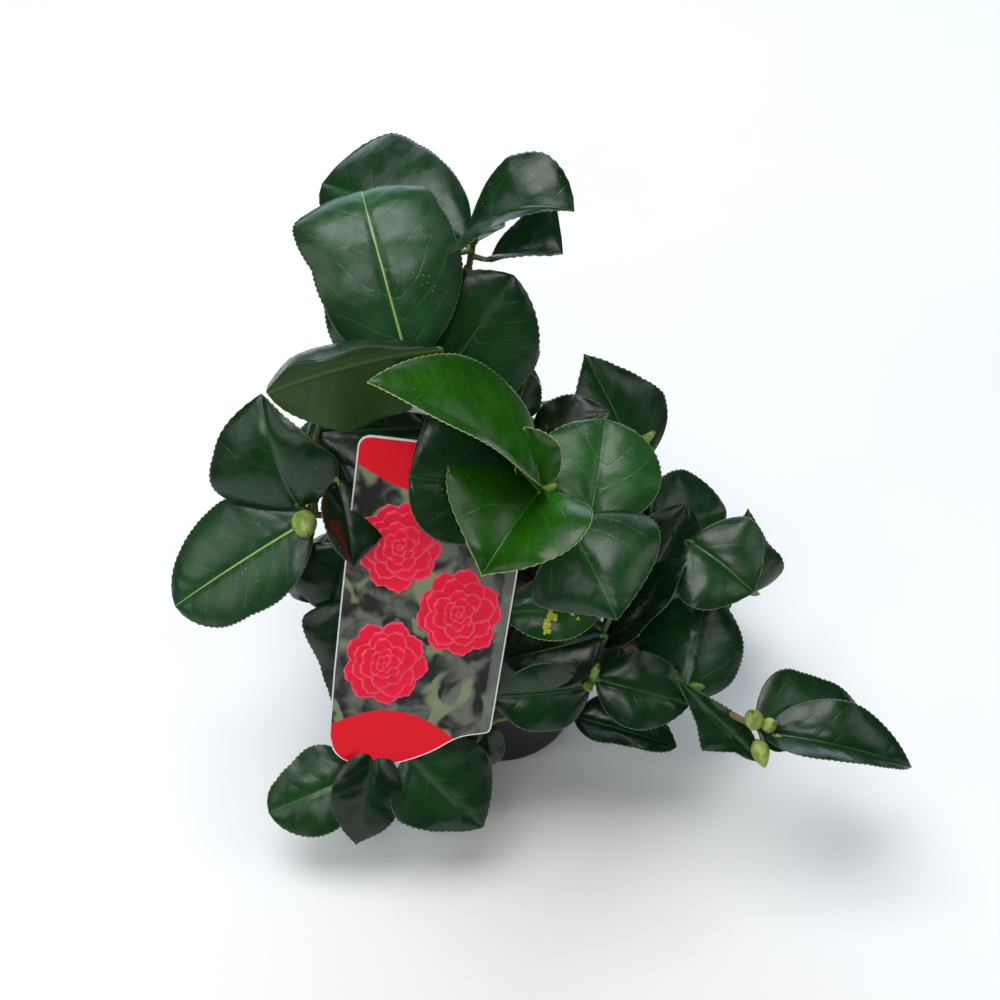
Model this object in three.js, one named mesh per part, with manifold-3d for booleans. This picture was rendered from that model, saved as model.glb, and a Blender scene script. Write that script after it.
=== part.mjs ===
// A young camellia in its nursery pot, with a picture label hung on its stem.
// Millimetres, +Z up. The origin is the centre of the pot's flat underside;
// +X is the plant's right and -Y its front, where the label hangs.

import * as THREE from 'three';
import { mergeVertices } from 'three/addons/utils/BufferGeometryUtils.js';
import Module from 'manifold-3d';

const wasm = await Module();
wasm.setup();

// Driving sizes.
const clearance = 0.35;            // left between neighbouring solids

const potHeight = 86;
const potRimRadius = 47;
const potFootRadius = 33.5;
const potWall = 1.3;
const potFloor = 1.6;
const rimBand = 9;                 // height of the thickened band under the rim
const rimStep = 1.6;               // how far that band stands out from the wall
const drainHoles = 6;
const drainRadius = 3;
const drainCircle = 22;

const compostTop = 77;
const compostDip = 1.6;            // how uneven its surface is
const stemSeat = 9;                // radius of the flat patch under the stem

const stemFootRadius = 5.2;        // over the root flare
const stemRadius = 3.6;
const stemTipRadius = 1.7;
const flareShare = 0.05;           // where the root flare begins to narrow, along the stem
const flareFade = 16;              // how fast it narrows
const boughRadius = 2.4;
const boughTipRadius = 1.3;

const leafThickness = 9;           // of one lobe of a leaf mass
const leafArch = 0.1;              // how far a lobe arches up at its middle, per length
const coreRadius = 11;             // the knot of short shoots at a mass's centre

const labelWidth = 66;
const labelLength = 156;
const labelThickness = 0.8;
const labelCorner = 7;
const labelTop = [-18, -45, 208];     // middle of the card's top edge
const labelFoot = [-39, -80, 57];     // middle of its bottom edge
const strapWidth = 5;
const strapThickness = 0.8;
const strapSteps = 20;             // lengths that its curve is made of

// Colours.
const colours = {
  pot: 0x121314, compost: 0x2c2018, bark: 0x4c3524,
  leaf: 0x17331d, darkLeaf: 0x10291a, youngLeaf: 0x2f6414, label: 0xc8102e, strap: 0xc9cfd0,
};

function finish(colour, roughness) {
  return new THREE.MeshStandardMaterial({ color: colour, roughness, metalness: 0 });
}

// Helpers.
const vector = (p) => new THREE.Vector3(p[0], p[1], p[2]);

function toSolid(geometry) {
  const bare = geometry.clone();
  bare.deleteAttribute('normal');
  bare.deleteAttribute('uv');
  const merged = mergeVertices(bare, 1e-4);
  return new wasm.Manifold(new wasm.Mesh({
    numProp: 3,
    vertProperties: new Float32Array(merged.attributes.position.array),
    triVerts: new Uint32Array(merged.index.array),
  }));
}

function toGeometry(solid) {
  const mesh = solid.getMesh();
  const geometry = new THREE.BufferGeometry();
  geometry.setAttribute('position', new THREE.BufferAttribute(new Float32Array(mesh.vertProperties), 3));
  geometry.setIndex(new THREE.BufferAttribute(new Uint32Array(mesh.triVerts), 1));
  geometry.computeVertexNormals();
  return geometry;
}

// The biggest body of a solid: a cut may leave crumbs beside it.
function largest(solid) {
  const bodies = solid.decompose();
  return bodies.reduce((best, body) => (body.volume() > best.volume() ? body : best));
}

const group = new THREE.Group();

function addMesh(name, geometry, material) {
  const mesh = new THREE.Mesh(geometry, material);
  mesh.name = name;
  group.add(mesh);
}

// Small repeatable unevenness, -1 to 1, from two whole numbers.
function uneven(i, j) {
  return Math.sin(i * 12.9898 + j * 78.233) * Math.cos(i * 4.1 - j * 2.7);
}

// Pot and compost.
function potWallRadius(z) {
  return potFootRadius + (potRimRadius - rimStep - potFootRadius) * (z / potHeight);
}

function makePot() {
  const bandFoot = potHeight - rimBand;
  const inside = potWallRadius(potFloor) - potWall;
  const profile = [
    [0, 0], [potFootRadius - 1, 0], [potFootRadius, 1],
    [potWallRadius(bandFoot), bandFoot], [potRimRadius, bandFoot + 1.2],
    [potRimRadius, potHeight - 0.8], [potRimRadius - 0.8, potHeight],
    [potRimRadius - 1.8, potHeight], [potWallRadius(bandFoot + 1.5) - potWall, bandFoot + 1.5],
    [inside, potFloor], [0, potFloor],
  ].map(([r, z]) => new THREE.Vector2(r, z));
  const shell = new THREE.LatheGeometry(profile, 28);
  shell.rotateX(Math.PI / 2);
  let pot = toSolid(shell);
  for (let k = 0; k < drainHoles; k++) {
    const turn = (k + 0.5) * (2 * Math.PI / drainHoles);
    const hole = new THREE.CylinderGeometry(drainRadius, drainRadius, 3 * potFloor, 8);
    hole.rotateX(Math.PI / 2);
    hole.translate(drainCircle * Math.cos(turn), drainCircle * Math.sin(turn), potFloor / 2);
    pot = pot.subtract(toSolid(hole));
  }
  return toGeometry(pot);
}

function makeCompost() {
  const foot = potFloor + clearance;
  const fit = (z) => potWallRadius(z) - potWall - clearance;
  const bandLine = potHeight - rimBand + 1.5;
  const profile = [
    [0, foot], [fit(foot), foot], [fit(Math.min(compostTop, bandLine)) - 0.2, compostTop - 1],
    [34, compostTop], [22, compostTop], [stemSeat, compostTop], [0, compostTop],
  ].map(([r, z]) => new THREE.Vector2(r, z));
  const geometry = new THREE.LatheGeometry(profile, 20);
  geometry.rotateX(Math.PI / 2);
  const place = geometry.attributes.position;
  for (let i = 0; i < place.count; i++) {
    const x = place.getX(i);
    const y = place.getY(i);
    const r = Math.hypot(x, y);
    if (place.getZ(i) > compostTop - 0.5 && r > stemSeat + 1) {
      const turn = Math.round(Math.atan2(y, x) * 10 / Math.PI) % 20;
      const bump = uneven((turn + 20) % 20, Math.round(r));
      place.setZ(i, compostTop - compostDip * (0.5 + 0.5 * bump));
    }
  }
  return toGeometry(toSolid(geometry));
}

// Stem and boughs.
// A tapering limb: rings across a smooth curve, closed by a flat cap at each end.
function limb(points, radii, grow = 0, sides = 6, rings = 6) {
  const curve = new THREE.CatmullRomCurve3(points.map(vector), false, 'centripetal');
  const frames = curve.computeFrenetFrames(rings, false);
  const corners = [];
  const faces = [];
  for (let i = 0; i <= rings; i++) {
    const share = i / rings;
    const centre = curve.getPointAt(share);
    const radius = radii(share) + grow;
    for (let k = 0; k < sides; k++) {
      const turn = (2 * Math.PI * k) / sides;
      const spoke = frames.normals[i].clone().multiplyScalar(Math.cos(turn) * radius)
        .addScaledVector(frames.binormals[i], Math.sin(turn) * radius);
      corners.push(...centre.clone().add(spoke).toArray());
    }
  }
  const ends = [0, rings].map((i) => curve.getPointAt(i / rings));
  const endIndex = corners.length / 3;
  ends.forEach((end) => corners.push(...end.toArray()));
  for (let k = 0; k < sides; k++) {
    const next = (k + 1) % sides;
    for (let i = 0; i < rings; i++) {
      const a = i * sides + k;
      const b = i * sides + next;
      faces.push(a, b, b + sides, a, b + sides, a + sides);
    }
    faces.push(endIndex, next, k, endIndex + 1, rings * sides + k, rings * sides + next);
  }
  const geometry = new THREE.BufferGeometry();
  geometry.setAttribute('position', new THREE.BufferAttribute(new Float32Array(corners), 3));
  geometry.setIndex(faces);
  return toSolid(geometry);
}

const stemFoot = compostTop + clearance;
const stemPath = [
  [0, 0, stemFoot - 8], [0, 0, stemFoot + 4], [-3, 0, 98], [-12, 2, 122],
  [-25, 4, 160], [-27, 7, 200], [-11, 14, 244],
];

// Root flare at the foot, then an even taper to the tip.
function stemRadii(share) {
  const above = Math.max(0, share - flareShare);
  const flare = (stemFootRadius - stemRadius) * Math.exp(-above * flareFade);
  return stemRadius + (stemTipRadius - stemRadius) * share + flare;
}

// Each bough: the point on the main stem that it leaves, its bends and its tip.
const boughs = {
  bough_left: [[-14, 2, 126], [-40, -14, 138], [-76, -30, 156]],
  bough_mid_left: [[-4, 0, 104], [-30, -22, 114], [-56, -40, 126]],
  bough_front: [[-3, 0, 100], [16, -20, 124], [26, -36, 158], [17, -50, 188]],
  bough_upper_right: [[-16, 2, 132], [14, 4, 142], [54, 11, 152]],
  bough_right: [[-2, 0, 96], [34, -4, 108], [78, -5, 110]],
  bough_front_right: [[0, 0, 90], [16, -26, 98], [40, -58, 86]],
  bough_low_right: [[0, 0, 86], [34, -26, 94], [72, -54, 82], [106, -77, 80]],
  bough_front_left: [[0, 0, 88], [-20, -32, 97], [-44, -68, 72]],
  bough_back_left: [[-8, 1, 114], [-26, 20, 128], [-46, 44, 138]],
  bough_back_right: [[-1, 0, 92], [24, 24, 104], [50, 48, 120]],
  bough_back: [[-20, 3, 144], [-14, 26, 158], [0, 54, 172]],
};

// Label and strap.
function labelFrame() {
  const down = vector(labelFoot).sub(vector(labelTop)).normalize();
  const across = new THREE.Vector3(1, 0, 0).addScaledVector(down, -down.x).normalize();
  return new THREE.Matrix4().makeBasis(across, down, new THREE.Vector3().crossVectors(across, down))
    .setPosition(vector(labelTop));
}

function makeLabel(grow = 0) {
  const half = labelWidth / 2 + grow;
  const corner = labelCorner;
  const shape = new THREE.Shape();
  shape.moveTo(-half + corner, -grow);
  shape.lineTo(half - corner, -grow);
  shape.quadraticCurveTo(half, -grow, half, corner);
  shape.lineTo(half, labelLength - corner);
  shape.quadraticCurveTo(half, labelLength + grow, half - corner, labelLength + grow);
  shape.lineTo(-half + corner, labelLength + grow);
  shape.quadraticCurveTo(-half, labelLength + grow, -half, labelLength - corner);
  shape.lineTo(-half, corner);
  shape.quadraticCurveTo(-half, -grow, -half + corner, -grow);
  const depth = labelThickness + 2 * grow;
  const card = new THREE.ExtrudeGeometry(shape, { depth, bevelEnabled: false, curveSegments: 3 });
  card.translate(0, 0, -depth / 2);
  card.applyMatrix4(labelFrame());
  return toSolid(card);
}

// The strap leaves the card's top edge, goes round the stem and comes back to the card.
const strapPath = [
  [-22, -45.2, 206], [-21, -36, 207], [-26, -25, 206], [-37, -18, 203], [-43, -6, 200], [-38, 10, 199],
  [-28, 15, 199], [-21, 8, 200], [-18, -10, 202], [-15, -28, 204], [-13, -45.2, 206],
];

function makeStrap(grow = 0) {
  const across = strapWidth / 2 + grow;
  const through = strapThickness / 2 + grow;
  const section = new THREE.Shape();
  section.moveTo(-across, -through);
  section.lineTo(across, -through);
  section.lineTo(across, through);
  section.lineTo(-across, through);
  section.closePath();
  const path = new THREE.CatmullRomCurve3(strapPath.map(vector), false, 'centripetal');
  return toSolid(new THREE.ExtrudeGeometry(section, { steps: strapSteps, extrudePath: path }));
}

// Masses of leaves.
// Each mass: its centre at a shoot's end, where its leaves turn their upper sides
// (azimuth and height in degrees), and its lobes as [tip x, y, z, width].
const masses = {
  leaves_crown_top: {
    centre: [-10, 15, 249], faces: [-80, 50],
    lobes: [[-58, 40, 277, 46], [28, 12, 292, 30], [25, 5, 262, 18], [-44, 62, 252, 40]],
  },
  leaves_crown_front: {
    centre: [-25, 6, 207], faces: [-85, 45],
    lobes: [[-66, 10, 282, 60], [8, 20, 242, 50], [-52, 52, 222, 42]],
  },
  leaves_crown_left: {
    centre: [-30, -1, 188], faces: [-100, 30],
    lobes: [[-91, -5, 203, 40], [-76, -13, 180, 34]],
  },
  leaves_heart: {
    centre: [-17, -6, 186], faces: [-105, 35],
    lobes: [[-8, -50, 150, 46], [12, 8, 204, 40]],
  },
  leaves_young: {
    centre: [16, -50, 188], faces: [-80, 65],
    lobes: [[-46, -46, 241, 50], [-7, -86, 178, 56]],
  },
  leaves_centre: {
    centre: [25, -37, 159], faces: [-85, 55],
    lobes: [[47, -2, 186, 50], [47, -78, 143, 56]],
  },
  leaves_upper_right: {
    centre: [56, 11, 152], faces: [-80, 50],
    lobes: [[38, 30, 186, 38], [12, 8, 172, 34], [44, 56, 138, 36]],
  },
  leaves_right: {
    centre: [80, -5, 110], faces: [-70, 55],
    lobes: [[72, 32, 118, 50], [117, -21, 101, 48], [109, 20, 106, 36], [50, -28, 92, 38]],
  },
  leaves_low_right: {
    centre: [78, -54, 79], faces: [-80, 50],
    lobes: [[83, -14, 90, 50], [109, -82, 63, 26]],
  },
  leaves_far_right: {
    centre: [108, -77, 79], faces: [-80, 60],
    lobes: [[150, -60, 75, 42], [171, -85, 66, 30]],
  },
  leaves_front_right: {
    centre: [40, -59, 85], faces: [-90, 60],
    lobes: [[2, -50, 122, 46], [-2, -78, 100, 40], [77, -66, 72, 40], [72, -68, 57, 30]],
  },
  leaves_left: {
    centre: [-77, -30, 156], faces: [-100, 50],
    lobes: [[-130, -49, 123, 50], [-93, -6, 201, 54], [-102, 6, 148, 32]],
  },
  leaves_mid_left: {
    centre: [-56, -41, 127], faces: [-110, 40],
    lobes: [[-73, -50, 112, 34], [-64, -70, 85, 30], [-55, -62, 160, 32], [-90, -14, 112, 34]],
  },
  leaves_front_left: {
    centre: [-45, -69, 70], faces: [-90, 48],
    lobes: [[-95, -88, 31, 38], [-60, -99, 30, 32], [-7, -92, 33, 50]],
  },
  leaves_back_left: {
    centre: [-47, 45, 138], faces: [110, 55],
    lobes: [[-92, 48, 112, 42], [-50, 88, 164, 44], [-36, 84, 104, 50], [-72, 34, 152, 34]],
  },
  leaves_back_right: {
    centre: [50, 49, 121], faces: [60, 55],
    lobes: [[92, 40, 84, 38], [52, 90, 104, 44], [24, 84, 92, 46]],
  },
  leaves_back: {
    centre: [0, 56, 173], faces: [90, 55],
    lobes: [[-34, 86, 200, 44], [2, 92, 170, 38], [-8, 100, 136, 42]],
  },
};

const youngMasses = ['leaves_young'];
const darkMasses = [
  'leaves_heart', 'leaves_back', 'leaves_back_left', 'leaves_back_right', 'leaves_mid_left',
];

function direction([azimuth, height]) {
  const a = THREE.MathUtils.degToRad(azimuth);
  const h = THREE.MathUtils.degToRad(height);
  return new THREE.Vector3(Math.cos(h) * Math.cos(a), Math.cos(h) * Math.sin(a), Math.sin(h));
}

// A lobe is a flattened, arching drop from the centre of its mass to its tip.
function lobe(centre, [x, y, z, width], faces, index, grow) {
  const along = new THREE.Vector3(x, y, z).sub(centre);
  const length = along.length() + grow;
  along.normalize();
  const normal = direction(faces);
  normal.addScaledVector(along, -normal.dot(along)).normalize();
  const side = new THREE.Vector3().crossVectors(normal, along);
  const ball = new THREE.SphereGeometry(1, 6, 5);
  const place = ball.attributes.position;
  const corner = new THREE.Vector3();
  for (let i = 0; i < place.count; i++) {
    corner.fromBufferAttribute(place, i);
    const share = (1 - corner.y) / 2;
    const wobble = 1 + 0.05 * uneven(index, Math.round(share * 12));
    const pointed = 1.06 - 0.4 * share ** 3;
    const across = corner.x * (width / 2 + grow) * wobble * pointed;
    const through = corner.z * (leafThickness / 2 + grow) * wobble;
    const arch = leafArch * length * 4 * share * (1 - share);
    const point = centre.clone().addScaledVector(along, share * length)
      .addScaledVector(side, across).addScaledVector(normal, through + arch);
    place.setXYZ(i, point.x, point.y, point.z);
  }
  return ball;
}

function leafMass({ centre, faces, lobes }, seed, grow = 0) {
  const middle = vector(centre);
  const core = new THREE.SphereGeometry(coreRadius + grow, 6, 4);
  core.scale(1, 1, 0.8);
  core.translate(...centre);
  let mass = toSolid(core);
  lobes.forEach((tip, k) => {
    mass = mass.add(toSolid(lobe(middle, tip, faces, seed + 3 * k, grow)));
  });
  return mass;
}

// Assembly.
addMesh('pot', makePot(), finish(colours.pot, 0.45));
addMesh('compost', makeCompost(), finish(colours.compost, 0.95));

// The stem is cut flat where it stands on the compost.
const below = new THREE.BoxGeometry(40, 40, 40);
below.translate(0, 0, stemFoot - 20);
const stem = limb(stemPath, stemRadii, 0, 8, 14).subtract(toSolid(below));
const wideStem = limb(stemPath, stemRadii, clearance, 8, 14);
addMesh('main_stem', toGeometry(stem), finish(colours.bark, 0.8));

const woody = [wideStem];
const taper = (share) => boughRadius + (boughTipRadius - boughRadius) * share;
for (const [name, path] of Object.entries(boughs)) {
  let bough = limb(path, taper);
  woody.forEach((other) => { bough = bough.subtract(other); });
  addMesh(name, toGeometry(largest(bough)), finish(colours.bark, 0.75));
  woody.push(limb(path, taper, clearance));
}

addMesh('label', toGeometry(makeLabel()), finish(colours.label, 0.35));
const strap = largest(makeStrap().subtract(makeLabel(clearance)).subtract(wideStem));
addMesh('label_strap', toGeometry(strap), finish(colours.strap, 0.3));

const taken = [...woody, makeLabel(clearance), makeStrap(clearance)];
Object.entries(masses).forEach(([name, plan], order) => {
  let mass = leafMass(plan, 7 * order);
  taken.forEach((other) => { mass = mass.subtract(other); });
  const colour = youngMasses.includes(name) ? colours.youngLeaf
    : darkMasses.includes(name) ? colours.darkLeaf : colours.leaf;
  addMesh(name, toGeometry(largest(mass)), finish(colour, 0.4));
  taken.push(leafMass(plan, 7 * order, clearance));
});

export default group;
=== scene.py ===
import math
import random

import bmesh
import bpy
import numpy as np
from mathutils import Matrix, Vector, noise


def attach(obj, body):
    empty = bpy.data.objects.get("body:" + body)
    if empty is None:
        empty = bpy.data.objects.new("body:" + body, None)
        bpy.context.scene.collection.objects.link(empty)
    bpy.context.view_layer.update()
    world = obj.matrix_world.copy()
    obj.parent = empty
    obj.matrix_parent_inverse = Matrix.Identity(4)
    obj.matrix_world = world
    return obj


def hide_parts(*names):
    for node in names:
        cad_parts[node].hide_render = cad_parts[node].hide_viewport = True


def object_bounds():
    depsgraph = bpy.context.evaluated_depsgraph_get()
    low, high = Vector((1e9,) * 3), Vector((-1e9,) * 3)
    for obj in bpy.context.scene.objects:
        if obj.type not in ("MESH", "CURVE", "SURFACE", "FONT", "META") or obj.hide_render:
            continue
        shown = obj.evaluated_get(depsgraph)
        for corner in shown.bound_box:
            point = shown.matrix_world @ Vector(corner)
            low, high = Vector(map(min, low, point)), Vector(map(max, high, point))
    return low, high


# A young camellia in a black nursery pot, with a picture label hung on its stem.
# Lengths are millimetres until a mesh is made; the plant's front is -Y.

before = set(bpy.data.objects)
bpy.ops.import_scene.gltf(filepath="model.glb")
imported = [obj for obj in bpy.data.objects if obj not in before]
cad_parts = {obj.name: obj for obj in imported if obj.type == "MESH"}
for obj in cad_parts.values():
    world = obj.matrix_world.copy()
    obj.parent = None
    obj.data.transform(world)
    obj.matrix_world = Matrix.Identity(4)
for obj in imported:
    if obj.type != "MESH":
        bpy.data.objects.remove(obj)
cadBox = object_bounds()
mm = 0.001


def toLinear(code):  # "#rrggbb" as drawn on a screen, to the shader's linear colour
    channels = [int(code[k:k + 2], 16) / 255 for k in (1, 3, 5)]
    return [c / 12.92 if c <= 0.04045 else ((c + 0.055) / 1.055) ** 2.4 for c in channels] + [1.0]


def addNode(tree, kind, settings=None, links=None):
    # A key that is a number or starts with a capital is an input, any other a property. An input takes a
    # value, a socket, or a node, which stands for its first output.
    node = tree.nodes.new(kind)
    inputs = {}
    for key, value in (settings or {}).items():
        if isinstance(key, int) or key[0].isupper():
            inputs[key] = value
        else:
            setattr(node, key, value)
    for key, value in {**inputs, **(links or {})}.items():
        if isinstance(value, bpy.types.Node):
            value = value.outputs[0]
        if isinstance(value, bpy.types.NodeSocket):
            tree.links.new(value, node.inputs[key])
        else:
            node.inputs[key].default_value = value
    return node


def unit(v):
    v = np.asarray(v, float)
    return v / np.linalg.norm(v)


def facing(azimuth, height):  # degrees to a direction; -90 is the plant's front
    a, h = math.radians(azimuth), math.radians(height)
    return np.array([math.cos(h) * math.cos(a), math.cos(h) * math.sin(a), math.sin(h)])


def smoothPath(points, steps):  # a curve through the points
    p = np.array([points[0], *points, points[-1]], float)
    p[0], p[-1] = 2 * p[1] - p[2], 2 * p[-2] - p[-3]
    rows = []
    for k in range(1, len(p) - 2):
        a, b, c, d = p[k - 1], p[k], p[k + 1], p[k + 2]
        for t in np.arange(steps) / steps:
            rows.append(0.5 * (2 * b + (c - a) * t + (2 * a - 5 * b + 4 * c - d) * t * t
                               + (3 * b - a - 3 * c + d) * t ** 3))
    rows.append(p[-2])
    return np.array(rows)


def shell(grid, thickness):
    # closed sheet: grid[row, column] is its upper side, which looks along column x row
    down, across = np.gradient(grid, axis=0), np.gradient(grid, axis=1)
    normal = np.cross(across, down)
    normal /= np.linalg.norm(normal, axis=2, keepdims=True) + 1e-9
    under = grid - normal * np.asarray(thickness)[..., None]
    m, n = grid.shape[:2]
    top = np.arange(m * n).reshape(m, n)
    low = top + m * n
    upper = np.stack([top[:-1, :-1], top[:-1, 1:], top[1:, 1:], top[1:, :-1]], -1).reshape(-1, 4)
    lower = np.stack([low[:-1, :-1], low[1:, :-1], low[1:, 1:], low[:-1, 1:]], -1).reshape(-1, 4)
    rim = np.concatenate([
        np.stack([top[:-1, -1], low[:-1, -1], low[1:, -1], top[1:, -1]], -1),
        np.stack([top[:-1, 0], top[1:, 0], low[1:, 0], low[:-1, 0]], -1),
        np.stack([top[0, :-1], low[0, :-1], low[0, 1:], top[0, 1:]], -1),
        np.stack([top[-1, :-1], top[-1, 1:], low[-1, 1:], low[-1, :-1]], -1)])
    points = np.concatenate([grid.reshape(-1, 3), under.reshape(-1, 3)])
    return points, upper, lower, rim, normal


class Sheaf:  # gathers sheets into one mesh
    def __init__(self):
        self.points, self.faces, self.slots, self.place, self.count = [], [], [], [], 0

    def add(self, points, faceSets, place=None):
        for faces, slot in faceSets:
            self.faces.append(faces + self.count)
            self.slots.append(np.full(len(faces), slot))
        self.points.append(points)
        self.place.append(np.zeros((len(points), 3)) if place is None else place)
        self.count += len(points)

    def mesh(self, name, materials, attribute=None):
        return makePiece(name, np.concatenate(self.points), np.concatenate(self.faces).tolist(), materials,
                         np.concatenate(self.slots), attribute, np.concatenate(self.place))


def makePiece(name, points, faces, materials, slots=None, attribute=None, place=None):
    mesh = bpy.data.meshes.new(name)
    mesh.from_pydata((np.asarray(points) * mm).tolist(), [], faces)
    for material in materials:
        mesh.materials.append(material)
    if slots is not None:
        mesh.polygons.foreach_set("material_index", np.asarray(slots, dtype=np.int32))
    if attribute:
        layer = mesh.attributes.new(attribute, "FLOAT_VECTOR", "POINT")
        layer.data.foreach_set("vector", np.asarray(place, dtype=np.float32).ravel())
    mesh.shade_smooth()
    mesh.update()
    piece = bpy.data.objects.new(name, mesh)
    bpy.context.scene.collection.objects.link(piece)
    return piece


def handOver(piece, slot, *nodes):  # the piece joins the root body, and the CAD nodes given are hidden
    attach(piece, "root")
    if nodes:
        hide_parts(*nodes)


def runTree(piece, tree, values):  # geometry nodes on the piece, turned into a plain mesh
    modifier = piece.modifiers.new("shape", "NODES")
    modifier.node_group = tree
    for socket in tree.interface.items_tree:
        if socket.item_type == "SOCKET" and socket.in_out == "INPUT" and socket.name in values:
            modifier[socket.identifier] = values[socket.name]
    graph = bpy.context.evaluated_depsgraph_get()
    mesh = bpy.data.meshes.new_from_object(piece.evaluated_get(graph), depsgraph=graph)
    piece.modifiers.remove(modifier)
    piece.data = mesh
    return piece


def startMaterial(name):
    material = bpy.data.materials.new(name)
    material.use_nodes = True
    tree = material.node_tree
    return material, tree, tree.nodes["Principled BSDF"]


smoothStep = {"interpolation_type": "SMOOTHSTEP"}
veins = {"spacing": 9.5, "lead": 0.62, "curve": 0.011, "ribHalf": 0.55, "ribTaper": 0.006,
         "ribLeast": 0.12}  # mm

leafTones = {  # waxy evergreen blades; each leaf takes one
    "dark": {"blade": "#0c2b12", "shade": "#071a09", "vein": "#173e1d", "rib": "#1a3f1a", "edge": "#34502c"},
    "deep": {"blade": "#133d1b", "shade": "#0b2610", "vein": "#225628", "rib": "#25561f", "edge": "#55743f"},
    "mid": {"blade": "#1b4822", "shade": "#113013", "vein": "#316a33", "rib": "#37682f", "edge": "#87a060"},
    "ribbed": {"blade": "#234f2c", "shade": "#16351b", "vein": "#3d7440", "rib": "#a2bd62", "edge": "#6d8a50"},
    "fresh": {"blade": "#265f24", "shade": "#164016", "vein": "#418636", "rib": "#265a1c", "edge": "#8ea858"},
    "young": {"blade": "#1d5a04", "shade": "#143f02", "vein": "#2f7012", "rib": "#37731a", "edge": "#b7c87a"},
}
leafSheen = {"roughness": (0.21, 0.35), "ior": 1.43, "speck": "#b9c6b4"}


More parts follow.
